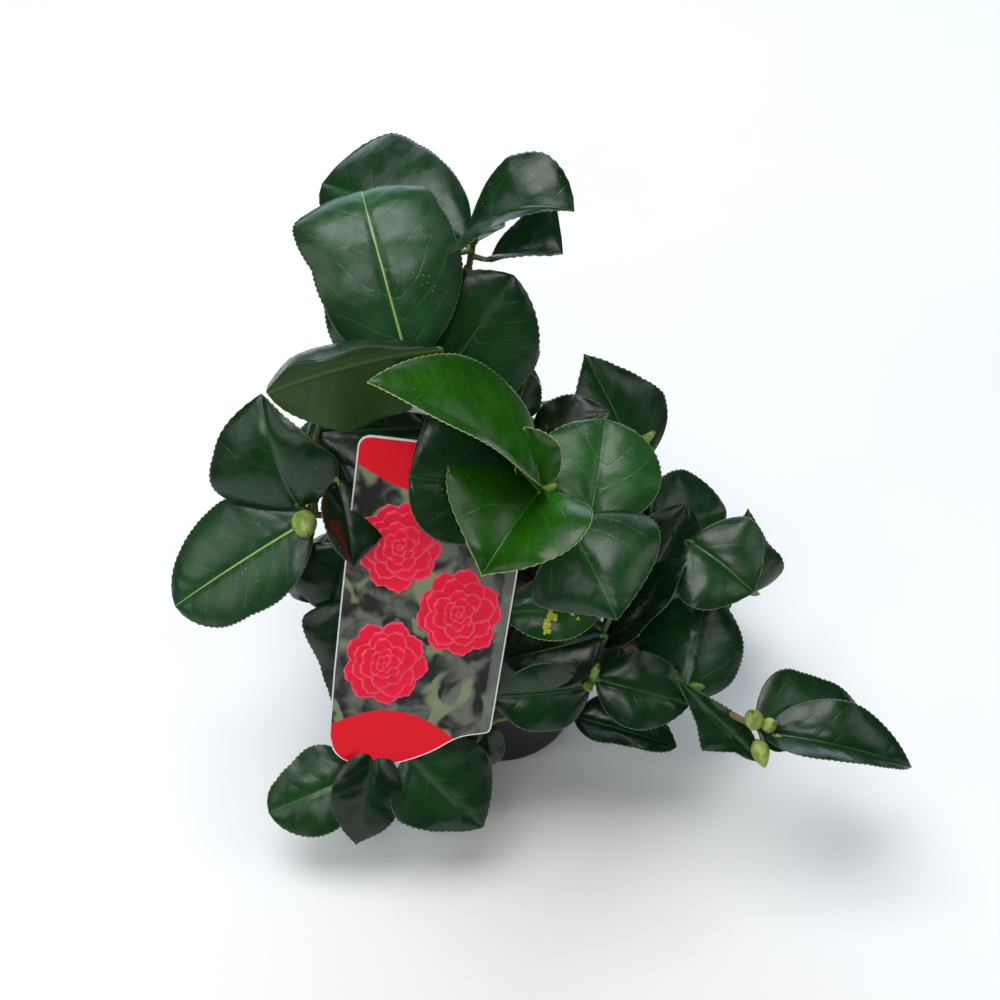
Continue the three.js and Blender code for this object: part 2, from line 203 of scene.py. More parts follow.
def leafMaterial(name, tone):
    # cuticle over a dark blade with painted shade towards its margin: a broad soft gloss, faint curved veins
    # and fine pale teeth at the edge
    material, tree, shader = startMaterial(name)
    place = addNode(tree, "ShaderNodeAttribute", {"attribute_name": "leafPlace"})
    split = addNode(tree, "ShaderNodeSeparateXYZ", {0: place.outputs["Vector"]})
    across = addNode(tree, "ShaderNodeMath", {"operation": "ABSOLUTE", 0: split})
    along, edge = split.outputs[1], split.outputs[2]
    here = addNode(tree, "ShaderNodeTexCoord").outputs["Object"]
    cloud = addNode(tree, "ShaderNodeTexNoise", {"Scale": 55.0, "Detail": 4.0, "Vector": here})  # 18 mm
    patches = addNode(tree, "ShaderNodeMapRange", {**smoothStep, 0: cloud, 1: 0.3, 2: 0.7, 3: 0.35, 4: 1})
    # painted shade: the blade grows darker over its last 13 mm to the margin, on top of the random tone
    # patches
    paintedEdgeShade = addNode(tree, "ShaderNodeMapRange", {**smoothStep, 0: edge, 1: 0.0, 2: 13.0, 3: 0.3, 4: 1})
    light = addNode(tree, "ShaderNodeMath", {"operation": "MULTIPLY", 0: patches, 1: paintedEdgeShade})
    colour = addNode(tree, "ShaderNodeMix", {
        "data_type": "RGBA", 0: light, 6: toLinear(tone["shade"]), 7: toLinear(tone["blade"])}).outputs[2]

    # side veins lean forward from the midrib and curve on towards the tip
    bow = addNode(tree, "ShaderNodeMath", {"operation": "MULTIPLY", 0: across, 1: veins["curve"]})
    slope = addNode(tree, "ShaderNodeMath", {"operation": "ADD", 0: bow, 1: veins["lead"]})
    lean = addNode(tree, "ShaderNodeMath", {"operation": "MULTIPLY", 0: across, 1: slope})
    foot = addNode(tree, "ShaderNodeMath", {"operation": "SUBTRACT", 0: along, 1: lean})
    count = addNode(tree, "ShaderNodeMath", {"operation": "DIVIDE", 0: foot, 1: veins["spacing"]})
    off = addNode(tree, "ShaderNodeMath", {"operation": "PINGPONG", 0: count, 1: 0.5})
    thread = addNode(tree, "ShaderNodeMapRange", {**smoothStep, 0: off, 1: 0.0, 2: 0.06, 3: 1.0, 4: 0.0})
    within = addNode(tree, "ShaderNodeMapRange", {**smoothStep, 0: edge, 1: 1.0, 2: 8.0, 3: 0, 4: 1})
    whole = addNode(tree, "ShaderNodeMath", {"operation": "MULTIPLY", 0: thread, 1: within})
    faint = addNode(tree, "ShaderNodeTexNoise", {"Scale": 120.0, "Detail": 1.0, "Vector": here})  # 8 mm
    shown = addNode(tree, "ShaderNodeMapRange", {**smoothStep, 0: faint, 1: 0.38, 2: 0.6, 3: 0.1, 4: 0.42})
    line = addNode(tree, "ShaderNodeMath", {"operation": "MULTIPLY", 0: whole, 1: shown})
    colour = addNode(tree, "ShaderNodeMix", {
        "data_type": "RGBA", 0: line, 6: colour, 7: toLinear(tone["vein"])}).outputs[2]

    # midrib, finer towards the tip, and the pale edge of the margin
    taper = addNode(tree, "ShaderNodeMath", {"operation": "MULTIPLY", 0: along, 1: veins["ribTaper"]})
    half = addNode(tree, "ShaderNodeMath", {"operation": "SUBTRACT", 0: veins["ribHalf"], 1: taper})
    half = addNode(tree, "ShaderNodeMath", {"operation": "MAXIMUM", 0: half, 1: veins["ribLeast"]})
    share = addNode(tree, "ShaderNodeMath", {"operation": "DIVIDE", 0: across, 1: half})
    rib = addNode(tree, "ShaderNodeMapRange", {**smoothStep, 0: share, 1: 0.5, 2: 1.35, 3: 0.85, 4: 0.0})
    colour = addNode(tree, "ShaderNodeMix", {
        "data_type": "RGBA", 0: rib, 6: colour, 7: toLinear(tone["rib"])}).outputs[2]
    margin = addNode(tree, "ShaderNodeMapRange", {**smoothStep, 0: edge, 1: 0.05, 2: 0.5, 3: 0.7, 4: 0.0})
    colour = addNode(tree, "ShaderNodeMix", {
        "data_type": "RGBA", 0: margin, 6: colour, 7: toLinear(tone["edge"])}).outputs[2]

    # dried water specks in wide patches
    wide = addNode(tree, "ShaderNodeTexNoise", {"Scale": 30.0, "Detail": 2.0, "Vector": here})  # 33 mm
    cells = addNode(tree, "ShaderNodeTexVoronoi", {"Scale": 420.0, "Vector": here})  # 2.4 mm apart
    speck = addNode(tree, "ShaderNodeMapRange", {
        **smoothStep, 0: cells.outputs["Distance"], 1: 0.05, 2: 0.12, 3: 0.6, 4: 0.0})
    where = addNode(tree, "ShaderNodeMapRange", {**smoothStep, 0: wide, 1: 0.56, 2: 0.66, 3: 0, 4: 1})
    dust = addNode(tree, "ShaderNodeMath", {"operation": "MULTIPLY", 0: speck, 1: where})
    colour = addNode(tree, "ShaderNodeMix", {
        "data_type": "RGBA", 0: dust, 6: colour, 7: toLinear(leafSheen["speck"])}).outputs[2]
    tree.links.new(colour, shader.inputs["Base Color"])

    wax = addNode(tree, "ShaderNodeTexNoise", {"Scale": 160.0, "Detail": 4.0, "Vector": here})  # 6 mm
    low, high = leafSheen["roughness"]
    gloss = addNode(tree, "ShaderNodeMapRange", {**smoothStep, 0: wax, 1: 0.35, 2: 0.65, 3: low, 4: high})
    tree.links.new(gloss.outputs[0], shader.inputs["Roughness"])
    grain = addNode(tree, "ShaderNodeTexNoise", {"Scale": 900.0, "Detail": 2.0, "Vector": here})  # 1 mm
    cell = addNode(tree, "ShaderNodeMath", {"operation": "MULTIPLY", 0: grain, 1: 0.35})
    height = addNode(tree, "ShaderNodeMath", {"operation": "SUBTRACT", 0: cell, 1: line})
    bump = addNode(tree, "ShaderNodeBump", {"Strength": 0.25, "Distance": 0.0004, "Height": height})
    tree.links.new(bump.outputs[0], shader.inputs["Normal"])
    shader.inputs["IOR"].default_value = leafSheen["ior"]
    return material


def underMaterial(name, blade, rib):
    # the matt, paler underside with its raised midrib
    material, tree, shader = startMaterial(name)
    place = addNode(tree, "ShaderNodeAttribute", {"attribute_name": "leafPlace"})
    split = addNode(tree, "ShaderNodeSeparateXYZ", {0: place.outputs["Vector"]})
    across = addNode(tree, "ShaderNodeMath", {"operation": "ABSOLUTE", 0: split})
    here = addNode(tree, "ShaderNodeTexCoord").outputs["Object"]
    cloud = addNode(tree, "ShaderNodeTexNoise", {"Scale": 90.0, "Detail": 3.0, "Vector": here})  # 11 mm
    dark = [c * 0.7 for c in toLinear(blade)[:3]] + [1.0]
    colour = addNode(tree, "ShaderNodeMix", {
        "data_type": "RGBA", 0: cloud, 6: dark, 7: toLinear(blade)}).outputs[2]
    ridge = addNode(tree, "ShaderNodeMapRange", {**smoothStep, 0: across, 1: 0.4, 2: 1.2, 3: 0.8, 4: 0})
    colour = addNode(tree, "ShaderNodeMix", {
        "data_type": "RGBA", 0: ridge, 6: colour, 7: toLinear(rib)}).outputs[2]
    tree.links.new(colour, shader.inputs["Base Color"])
    shader.inputs["Roughness"].default_value = 0.52
    return material


def mottled(name, first, second, size, roughness, bumpHeight=0.0, bumpSize=None):
    # two colours in soft patches of a real size in mm, with a grain that stands up by bumpHeight mm
    material, tree, shader = startMaterial(name)
    here = addNode(tree, "ShaderNodeTexCoord").outputs["Object"]
    cloud = addNode(tree, "ShaderNodeTexNoise", {"Scale": 1000.0 / size, "Detail": 4.0, "Vector": here})
    patches = addNode(tree, "ShaderNodeMapRange", {**smoothStep, 0: cloud, 1: 0.35, 2: 0.65, 3: 0, 4: 1})
    colour = addNode(tree, "ShaderNodeMix", {
        "data_type": "RGBA", 0: patches, 6: toLinear(first), 7: toLinear(second)})
    tree.links.new(colour.outputs[2], shader.inputs["Base Color"])
    gloss = addNode(tree, "ShaderNodeMapRange", {
        **smoothStep, 0: cloud, 1: 0.3, 2: 0.7, 3: roughness[0], 4: roughness[1]})
    tree.links.new(gloss.outputs[0], shader.inputs["Roughness"])
    if bumpHeight:
        grain = addNode(tree, "ShaderNodeTexNoise", {
            "Scale": 1000.0 / bumpSize, "Detail": 4.0, "Vector": here})
        bump = addNode(tree, "ShaderNodeBump", {
            "Strength": 0.6, "Distance": bumpHeight * mm, "Height": grain})
        tree.links.new(bump.outputs[0], shader.inputs["Normal"])
    return material


toneNames = list(leafTones)
leafMaterials = [leafMaterial(f"waxy_leaf_{name}", tone) for name, tone in leafTones.items()]
underMaterials = [underMaterial("leaf_underside", "#365a10", "#55752a"),
                  underMaterial("young_leaf_underside", "#4a7212", "#86a844")]
barkMaterial = mottled("camellia_bark", "#4a3524", "#7a6347", 5.0, (0.7, 0.9), 0.35, 1.6)  # grey-brown
twigMaterial = mottled("green_twig", "#4d4a22", "#6a5a30", 6.0, (0.45, 0.6), 0.1, 1.0)  # this year's wood
petioleMaterial = mottled("leaf_stalk", "#3f6a26", "#5d7d34", 5.0, (0.4, 0.5))
potMaterial = mottled("moulded_black_plastic", "#060606", "#0f0f0e", 25.0, (0.42, 0.55), 0.06, 1.2)
compostMaterial = mottled("moist_compost", "#1a120b", "#3d2b1c", 3.0, (0.85, 0.98), 0.8, 1.4)
crumbMaterial = mottled("compost_crumbs", "#20160e", "#5a4029", 4.0, (0.8, 0.95), 0.3, 0.8)
strapMaterial = mottled("clear_white_strap", "#c4caca", "#e2e6e5", 20.0, (0.3, 0.4))
flowerBudMaterial = mottled("flower_bud_scales", "#6f8a34", "#9bb058", 3.0, (0.4, 0.5))
budTipMaterial = mottled("bud_scale_tips", "#6f4a26", "#8f6a38", 2.0, (0.5, 0.6))
leafBudMaterial = mottled("leaf_bud_scales", "#567824", "#7f9d40", 3.0, (0.4, 0.5))
fleckMaterial = mottled("pale_variegation", "#b9c518", "#d6d83a", 3.0, (0.35, 0.45))
print("materials made")


pot = {"height": 86.0, "rim": 47.0, "foot": 33.5, "wall": 1.3, "floor": 1.6, "recess": 1.0, "band": 9.0,
       "step": 1.6, "holes": 6, "holeRadius": 3.0, "holeCircle": 22.0, "segments": 120, "ribs": 40,
       "ribHeight": 0.25}
compost = {"top": 77.0, "dip": 1.4, "seat": 9.0, "crumbs": 150000.0, "crumbSize": (0.5, 1.9), "seed": 5}


def turned(profile, segments, ripple=None):  # closed body turned about Z from a profile of (radius, height)
    profile = np.array(profile, float)
    angles = np.arange(segments) / segments * 2 * math.pi
    rings = []
    for k, (r, z) in enumerate(profile):
        reach = r + (ripple(angles, z) if ripple and r > 1 else 0)
        rings.append(np.stack([reach * np.cos(angles), reach * np.sin(angles), np.full(segments, z)], -1))
    points = np.concatenate(rings)
    faces = []
    for k in range(len(profile) - 1):
        for s in range(segments):
            t = (s + 1) % segments
            faces.append([k * segments + s, k * segments + t, (k + 1) * segments + t, (k + 1) * segments + s])
    return points, faces


def wallRadius(z):
    return pot["foot"] + (pot["rim"] - pot["step"] - pot["foot"]) * z / pot["height"]


def makePot():
    h, band = pot["height"], pot["height"] - pot["band"]
    outside = [(0.01, pot["recess"]), (pot["foot"] - 6, pot["recess"]), (pot["foot"] - 5, 0.0),
               (pot["foot"] - 0.8, 0.0), (pot["foot"], 0.9)]
    outside += [(wallRadius(z), z) for z in np.linspace(4, band - 0.6, 12)]
    outside += [(pot["rim"] - 0.7, band), (pot["rim"] - 0.1, band + 0.7), (pot["rim"], band + 1.6),
                (pot["rim"], h - 1.2), (pot["rim"] - 0.35, h - 0.35), (pot["rim"] - 1.1, h)]
    inside = [(pot["rim"] - 1.9, h - 0.3), (pot["rim"] - 2.2, h - 1.2), (pot["rim"] - 2.4, band + 3),
              (wallRadius(band) - pot["wall"], band + 1)]
    inside += [(wallRadius(z) - pot["wall"], z) for z in (50, 20, 4)]
    floor = pot["recess"] + pot["floor"]
    inside += [(wallRadius(2) - 3.5, floor), (0.01, floor)]
    count = pot["ribs"]

    def ribs(angles, z):  # shallow upright ribs pressed into the wall below the band
        return pot["ribHeight"] * (np.cos(angles * count) > 0.2) * (8 < z < band - 4)

    points, faces = turned(outside + inside, pot["segments"], ribs)
    shape = makePiece("pot_shell", points, faces, [potMaterial])
    cutters = Sheaf()
    for k in range(pot["holes"]):
        a = k * 2 * math.pi / pot["holes"]
        centre = np.array([math.cos(a), math.sin(a), 0]) * pot["holeCircle"]
        ring, sides = turned([(0.01, -3), (pot["holeRadius"], -3), (pot["holeRadius"], 6), (0.01, 6)], 24)
        cutters.add(ring + centre, [(np.array(sides), 0)])
    cutter = cutters.mesh("drain_cutter", [potMaterial])
    for piece in (shape, cutter):
        sealPoles(piece)
    cut = shape.modifiers.new("drains", "BOOLEAN")
    cut.operation, cut.object, cut.solver = "DIFFERENCE", cutter, "EXACT"
    graph = bpy.context.evaluated_depsgraph_get()
    mesh = bpy.data.meshes.new_from_object(shape.evaluated_get(graph), depsgraph=graph)
    shape.modifiers.clear()
    shape.data = mesh
    bpy.data.objects.remove(cutter)
    smoothByAngle(shape, 35)
    return shape


def sealPoles(piece):  # rings of no size at the ends of a turned body become one point
    body = bmesh.new()
    body.from_mesh(piece.data)
    bmesh.ops.remove_doubles(body, verts=body.verts, dist=0.00003)
    bmesh.ops.recalc_face_normals(body, faces=body.faces)
    body.to_mesh(piece.data)
    body.free()


def smoothByAngle(piece, degrees):
    piece.data.shade_smooth()
    piece.data.set_sharp_from_angle(angle=math.radians(degrees))


def makeCompost():
    reach = wallRadius(compost["top"] - 4) - pot["wall"] - 0.35
    profile = [(0.01, compost["top"])] + [(r, compost["top"]) for r in np.linspace(3, reach, 22)]
    profile += [(wallRadius(40) - pot["wall"] - 0.4, 40), (wallRadius(4) - 4.2, 3.1), (0.01, 3.1)]
    points, faces = turned(profile, 96)
    for p in points:
        if p[2] >= compost["top"]:
            r = math.hypot(p[0], p[1])
            calm = min(1.0, max(0.0, (r - compost["seat"] + 3) / 4))
            rough = noise.noise(Vector((p[0] / 9, p[1] / 9, 3)))
            rough += 0.5 * noise.noise(Vector((p[0] / 3, p[1] / 3, 7)))
            p[2] += compost["dip"] * calm * (rough - 0.35)
    body = makePiece("compost_fill", points, faces, [compostMaterial])
    sealPoles(body)
    smoothByAngle(body, 50)
    return body


def crumbTree():  # loose crumbs strewn over the compost
    tree = bpy.data.node_groups.new("strewn_crumbs", "GeometryNodeTree")
    face = tree.interface
    for name, kind in (("Geometry", "NodeSocketGeometry"), ("Per square metre", "NodeSocketFloat"),
                       ("Smallest", "NodeSocketFloat"), ("Largest", "NodeSocketFloat"),
                       ("Seed", "NodeSocketInt"), ("Material", "NodeSocketMaterial")):
        face.new_socket(name, in_out="INPUT", socket_type=kind)
    face.new_socket("Geometry", in_out="OUTPUT", socket_type="NodeSocketGeometry")
    given = addNode(tree, "NodeGroupInput").outputs
    normal = addNode(tree, "GeometryNodeInputNormal")
    tilt = addNode(tree, "ShaderNodeSeparateXYZ", links={0: normal.outputs[0]})
    level = addNode(tree, "FunctionNodeCompare", {"operation": "GREATER_THAN", 1: 0.75}, {0: tilt.outputs[2]})
    strewn = addNode(tree, "GeometryNodeDistributePointsOnFaces", {"distribute_method": "RANDOM"}, {
        "Mesh": given["Geometry"], "Selection": level.outputs[0], "Density": given["Per square metre"],
        "Seed": given["Seed"]})
    crumb = addNode(tree, "GeometryNodeMeshIcoSphere", {"Radius": 1.0, "Subdivisions": 2})
    lump = addNode(tree, "ShaderNodeTexNoise", {"Scale": 0.9, "Detail": 1.0})
    swing = addNode(tree, "ShaderNodeMath", {"operation": "SUBTRACT", 0: lump, 1: 0.5})
    swell = addNode(tree, "ShaderNodeMath", {"operation": "MULTIPLY", 0: swing, 1: 1.6})
    push = addNode(tree, "ShaderNodeVectorMath", {
        "operation": "SCALE", 0: addNode(tree, "GeometryNodeInputNormal"), "Scale": swell})
    uneven = addNode(tree, "GeometryNodeSetPosition", links={
        "Geometry": crumb.outputs[0], "Offset": push.outputs[0]})
    spin = addNode(tree, "FunctionNodeRandomValue", {"data_type": "FLOAT_VECTOR", 1: (6.28, 6.28, 6.28)},
                   {"Seed": given["Seed"]})
    size = addNode(tree, "FunctionNodeRandomValue", {"data_type": "FLOAT"}, {
        2: given["Smallest"], 3: given["Largest"], "Seed": given["Seed"]})
    flat = addNode(tree, "FunctionNodeRandomValue", {
        "data_type": "FLOAT_VECTOR", 0: (0.6, 0.6, 0.4), 1: (1.5, 1.1, 0.8), "Seed": 9})
    scale = addNode(tree, "ShaderNodeVectorMath", {"operation": "SCALE"}, {
        0: flat.outputs[0], "Scale": size.outputs[1]})
    placed = addNode(tree, "GeometryNodeInstanceOnPoints", links={
        "Points": strewn.outputs["Points"], "Instance": uneven.outputs[0],
        "Rotation": spin.outputs[0], "Scale": scale.outputs[0]})
    real = addNode(tree, "GeometryNodeRealizeInstances", links={"Geometry": placed.outputs[0]})
    dressed = addNode(tree, "GeometryNodeSetMaterial", links={
        "Geometry": real.outputs[0], "Material": given["Material"]})
    addNode(tree, "NodeGroupOutput", links={0: dressed.outputs[0]})
    return tree


handOver(makePot(), "pot", "pot")
compostFill = makeCompost()
crumbs = bpy.data.objects.new("compost_crumbs", compostFill.data.copy())
bpy.context.scene.collection.objects.link(crumbs)
runTree(crumbs, crumbTree(), {
    "Per square metre": compost["crumbs"], "Smallest": compost["crumbSize"][0] * mm,
    "Largest": compost["crumbSize"][1] * mm, "Seed": compost["seed"], "Material": crumbMaterial})
handOver(compostFill, "compost", "compost")
handOver(crumbs, "compost")
print("pot and compost made")


stem = {"path": [(0, 0, 69), (0, 0, 81), (-3, 0, 98), (-12, 2, 122), (-25, 4, 160), (-27, 7, 200),
                 (-11, 14, 244)],
        "cut": 77.35, "flare": 5.2, "radius": 3.6, "tip": 1.7, "relief": 0.35, "grain": 260.0}
boughs = {
    "left": [(-14, 2, 126), (-40, -14, 138), (-76, -30, 156)],
    "mid_left": [(-4, 0, 104), (-30, -22, 114), (-56, -40, 126)],
    "front": [(-3, 0, 100), (16, -20, 124), (26, -36, 158), (17, -50, 188)],
    "upper_right": [(-16, 2, 132), (14, 4, 142), (54, 11, 152)],
    "right": [(-2, 0, 96), (34, -4, 108), (78, -5, 110)],
    "front_right": [(0, 0, 90), (16, -26, 98), (40, -58, 86)],
    "low_right": [(0, 0, 86), (34, -26, 94), (72, -54, 82), (106, -77, 80)],
    "front_left": [(0, 0, 88), (-20, -32, 97), (-44, -68, 72)],
    "back_left": [(-8, 1, 114), (-26, 20, 128), (-46, 44, 138)],
    "back_right": [(-1, 0, 92), (24, 24, 104), (50, 48, 120)],
    "back": [(-20, 3, 144), (-14, 26, 158), (0, 54, 172)],
}
boughGirth = {"radius": 2.4, "tip": 1.25, "relief": 0.22, "grain": 380.0}


def tubeTree():  # a tube along each line of edges, as thick as its "girth", with bark's relief
    tree = bpy.data.node_groups.new("barked_limb", "GeometryNodeTree")
    face = tree.interface
    for name, kind in (("Geometry", "NodeSocketGeometry"), ("Sides", "NodeSocketInt"),
                       ("Step", "NodeSocketFloat"), ("Relief", "NodeSocketFloat"),
                       ("Grain", "NodeSocketFloat"), ("Material", "NodeSocketMaterial")):
        face.new_socket(name, in_out="INPUT", socket_type=kind)
    face.new_socket("Geometry", in_out="OUTPUT", socket_type="NodeSocketGeometry")
    given = addNode(tree, "NodeGroupInput").outputs
    line = addNode(tree, "GeometryNodeMeshToCurve", links={0: given["Geometry"]})
    even = addNode(tree, "GeometryNodeResampleCurve", {"mode": "LENGTH"}, {
        "Curve": line.outputs[0], "Length": given["Step"]})
    girth = addNode(tree, "GeometryNodeInputNamedAttribute", {"data_type": "FLOAT", "Name": "girth"})
    ring = addNode(tree, "GeometryNodeCurvePrimitiveCircle", {"mode": "RADIUS", "Radius": 1.0},
                   {"Resolution": given["Sides"]})
    tube = addNode(tree, "GeometryNodeCurveToMesh", {"Fill Caps": True}, {
        "Curve": even.outputs[0], "Profile Curve": ring.outputs[0], "Scale": girth.outputs[0]})
    where = addNode(tree, "GeometryNodeInputPosition")
    long = addNode(tree, "ShaderNodeVectorMath", {"operation": "MULTIPLY", 1: (1.0, 1.0, 0.35)},
                   {0: where.outputs[0]})
    ridges = addNode(tree, "ShaderNodeTexNoise", {"Detail": 3.0}, {
        "Vector": long.outputs[0], "Scale": given["Grain"]})
    swing = addNode(tree, "ShaderNodeMath", {"operation": "SUBTRACT", 0: ridges, 1: 0.5})
    swell = addNode(tree, "ShaderNodeMath", {"operation": "MULTIPLY", 0: swing, 1: given["Relief"]})
    push = addNode(tree, "ShaderNodeVectorMath", {
        "operation": "SCALE", 0: addNode(tree, "GeometryNodeInputNormal"), "Scale": swell})
    barked = addNode(tree, "GeometryNodeSetPosition", links={
        "Geometry": tube.outputs[0], "Offset": push.outputs[0]})
    real = addNode(tree, "GeometryNodeRealizeInstances", links={"Geometry": barked.outputs[0]})
    dressed = addNode(tree, "GeometryNodeSetMaterial", links={
        "Geometry": real.outputs[0], "Material": given["Material"]})
    addNode(tree, "NodeGroupOutput", links={0: dressed.outputs[0]})
    return tree


limbTree = tubeTree()


def makeTubes(name, lines, material, sides, step, relief, grain):
    # lines: (points, radii) in mm
    points, edges, girths = [], [], []
    for path, radii in lines:
        start = len(points)
        points += [tuple(p * mm) for p in np.asarray(path, float)]
        girths += list(np.asarray(radii, float) * mm)
        edges += [(start + k, start + k + 1) for k in range(len(path) - 1)]
    mesh = bpy.data.meshes.new(name)
    mesh.from_pydata(points, edges, [])
    layer = mesh.attributes.new("girth", "FLOAT", "POINT")
    layer.data.foreach_set("value", np.array(girths, dtype=np.float32))
    piece = bpy.data.objects.new(name, mesh)
    bpy.context.scene.collection.objects.link(piece)
    runTree(piece, limbTree, {"Sides": sides, "Step": step * mm, "Relief": relief * mm, "Grain": grain,
                              "Material": material})
    piece.data.shade_smooth()
    return piece


def stemLine():
    path = smoothPath(stem["path"], 16)
    path = path[path[:, 2] > stem["cut"] - 0.6]
    share = np.linspace(0, 1, len(path))
    flare = np.clip((path[:, 2] - stem["cut"]) / 9, 0, 1)
    radii = stem["flare"] + (stem["radius"] - stem["flare"]) * flare ** 0.6
    radii = radii + (stem["tip"] - stem["radius"]) * np.clip((share - 0.1) / 0.9, 0, 1)
    return path, radii


def boughLine(points):
    path = smoothPath(points, 14)
    swell = np.exp(-np.arange(len(path)) / 2.5) * 0.9  # collar where it leaves the limb below
    return path, np.linspace(boughGirth["radius"], boughGirth["tip"], len(path)) + swell


stemPath, stemGirth = stemLine()
handOver(makeTubes("stem_bark", [(stemPath, stemGirth)], barkMaterial, 28, 0.9,
                   stem["relief"] * 2, stem["grain"]),
         "bark", "main_stem")
boughPaths = {name: boughLine(points) for name, points in boughs.items()}
handOver(makeTubes("bough_bark", list(boughPaths.values()), barkMaterial, 14, 1.2,
                   boughGirth["relief"] * 2, boughGirth["grain"]),
         "bark", *["bough_" + name for name in boughs])
print("stem and boughs made")


blade = {"rowLength": 1.05, "columns": (0, 0.035, 0.14, 0.28, 0.43, 0.58, 0.73, 0.87, 0.965, 1.0),
         "thickness": 0.42, "ribDrop": 0.55, "quilt": 0.3, "tooth": 0.36,
         "wide": 0.44, "point": 0.95, "foot": 0.64}


def outline(share, wide, point, foot):  # half width of a blade along it, 0 to 1
    a = np.clip(share / wide, 0, 1)
    b = np.clip((share - wide) / (1 - wide), 0, 1)
    lower, upper = np.clip(1 - (1 - a) ** 2, 0, 1) ** foot, np.clip(1 - b ** 2.2, 0, 1) ** point
    return np.where(share < wide, lower, upper)


def section(fold, recurve, r):  # how far a half blade reaches out and rises, over its share r
    bowed = math.radians(fold) + math.radians(recurve) * (r[1:] + r[:-1]) / 2
    step = np.diff(r)
    return (np.concatenate([[0], np.cumsum(np.cos(bowed) * step)]),
            np.concatenate([[0], np.cumsum(np.sin(bowed) * step)]))


def leafGrid(leaf):
    # base and tip in mm; faces is where the upper side looks; bend arches it along, more so near the
    # tip as bias grows; fold raises its halves, recurve turns their margins down, and each may be a
    # pair (left, right); twist turns it on its way to the tip; left and right widen or narrow that half
    # at six even steps
    base, tip = np.array(leaf["base"], float), np.array(leaf["tip"], float)
    chord = np.linalg.norm(tip - base)
    ahead = (tip - base) / chord
    up = facing(*leaf["faces"])
    up = unit(up - ahead * (up @ ahead))
    side = np.cross(ahead, up)
    rows = max(16, 2 * round(chord / blade["rowLength"] / 2))
    share = np.linspace(0, 1, rows + 1)
    turn = math.radians(leaf.get("bend", 30)) * (0.5 - share ** leaf.get("bias", 1.0))
    middle = (turn[1:] + turn[:-1]) / 2
    run = np.concatenate([[0], np.cumsum(np.cos(middle))]) / rows
    rise = np.concatenate([[0], np.cumsum(np.sin(middle))]) / rows
    tilt, reach = math.atan2(rise[-1], run[-1]), math.hypot(run[-1], rise[-1])
    length = chord / reach
    x = (run * math.cos(tilt) + rise * math.sin(tilt)) * length
    z = (rise * math.cos(tilt) - run * math.sin(tilt)) * length
    turn = turn - tilt
    shape = (leaf.get(key, blade[key]) for key in ("wide", "point", "foot"))
    half = outline(share, *shape) * leaf["width"] / 2
    half = np.maximum(half, 0.9 - 0.75 * share)
    even = np.arange(6) / 5
    halves = [half * np.interp(share, even, leaf.get(key, (1,) * 6)) for key in ("left", "right")]
    r = np.array(blade["columns"])
    folds = np.broadcast_to(leaf.get("fold", 14), 2)
    curls = np.broadcast_to(leaf.get("recurve", -26), 2)
    (outLeft, liftLeft), (outRight, liftRight) = (section(folds[k], curls[k], r) for k in (0, 1))
    out = np.concatenate([-outLeft[:0:-1], outRight])
    lift = np.concatenate([liftLeft[:0:-1], liftRight])
    r = np.concatenate([-r[:0:-1], r])
    half = np.where(r[None, :] < 0, halves[0][:, None], halves[1][:, None])
    spin = math.radians(leaf.get("twist", 0)) * share
    normalHere = -ahead * np.sin(turn)[:, None] + up * np.cos(turn)[:, None]
    sideHere = side * np.cos(spin)[:, None] + normalHere * np.sin(spin)[:, None]
    normalHere = normalHere * np.cos(spin)[:, None] - side * np.sin(spin)[:, None]
    centre = base + ahead * x[:, None] + up * z[:, None]
    grid = (centre[:, None] + sideHere[:, None] * (out * half)[..., None]
            + normalHere[:, None] * (lift * half)[..., None])
    across = r * half
    seed = leaf.get("seed", 0)
    run = share * length
    run = run + 1.6 * np.sin(run / 7.5 + seed) + 1.1 * np.sin(run / 4.1 + 2.3 * seed)  # veins at uneven steps
    along = np.repeat(run[:, None], len(r), axis=1)
    along = along + np.where(r > 0, 0.45 * veins["spacing"], 0.0)[None, :] * np.clip(np.abs(across) / 2, 0, 1)
    edge = half - np.abs(across)
    # relief: sunken midrib, blade puffed up between the side veins, margin a little wavy
    s = share[:, None]
    phase = (along - np.abs(across) * (veins["lead"] + veins["curve"] * np.abs(across))) / veins["spacing"]
    puff = blade["quilt"] * np.abs(np.sin(math.pi * phase)) ** 0.8
    puff = puff * np.clip(edge / 5, 0, 1) * np.clip(np.abs(across) / 3, 0, 1)
    groove = blade["ribDrop"] * np.exp(-(across / 0.8) ** 2) * (1 - 0.6 * s)
    wave = leaf.get("wave", 0.8) * r[None, :] ** 2 * np.sin(2 * math.pi * (2.2 * s + 0.37 * seed)
                                                            + np.where(r > 0, 0.0, 1.9)[None, :])
    wave = wave * np.sin(math.pi * np.clip(s, 0, 1)) ** 0.5
    grid = grid + normalHere[:, None] * (puff - groove + wave)[..., None]
    # forward-leaning teeth on the margin
    teeth = np.where(np.arange(rows + 1) % 2 == 1, 1.0, -0.25) * np.clip((share - 0.14) * 9, 0, 1)
    teeth = teeth * np.clip((1 - share) * 14, 0, 1) * blade["tooth"]
    for column, sign in ((0, -1), (-1, 1)):
        grid[:, column] += sideHere * (sign * teeth)[:, None] + ahead * (np.abs(teeth) * 0.5)[:, None]
    start = ahead * math.cos(turn[0]) + up * math.sin(turn[0])
    thick = blade["thickness"] * (0.5 + 0.5 * np.clip(edge / 3, 0, 1))
    thick = thick + 0.45 * np.exp(-(across / 0.9) ** 2) * (1 - 0.7 * s)
    return grid, thick, np.stack([across, along, edge], -1), start


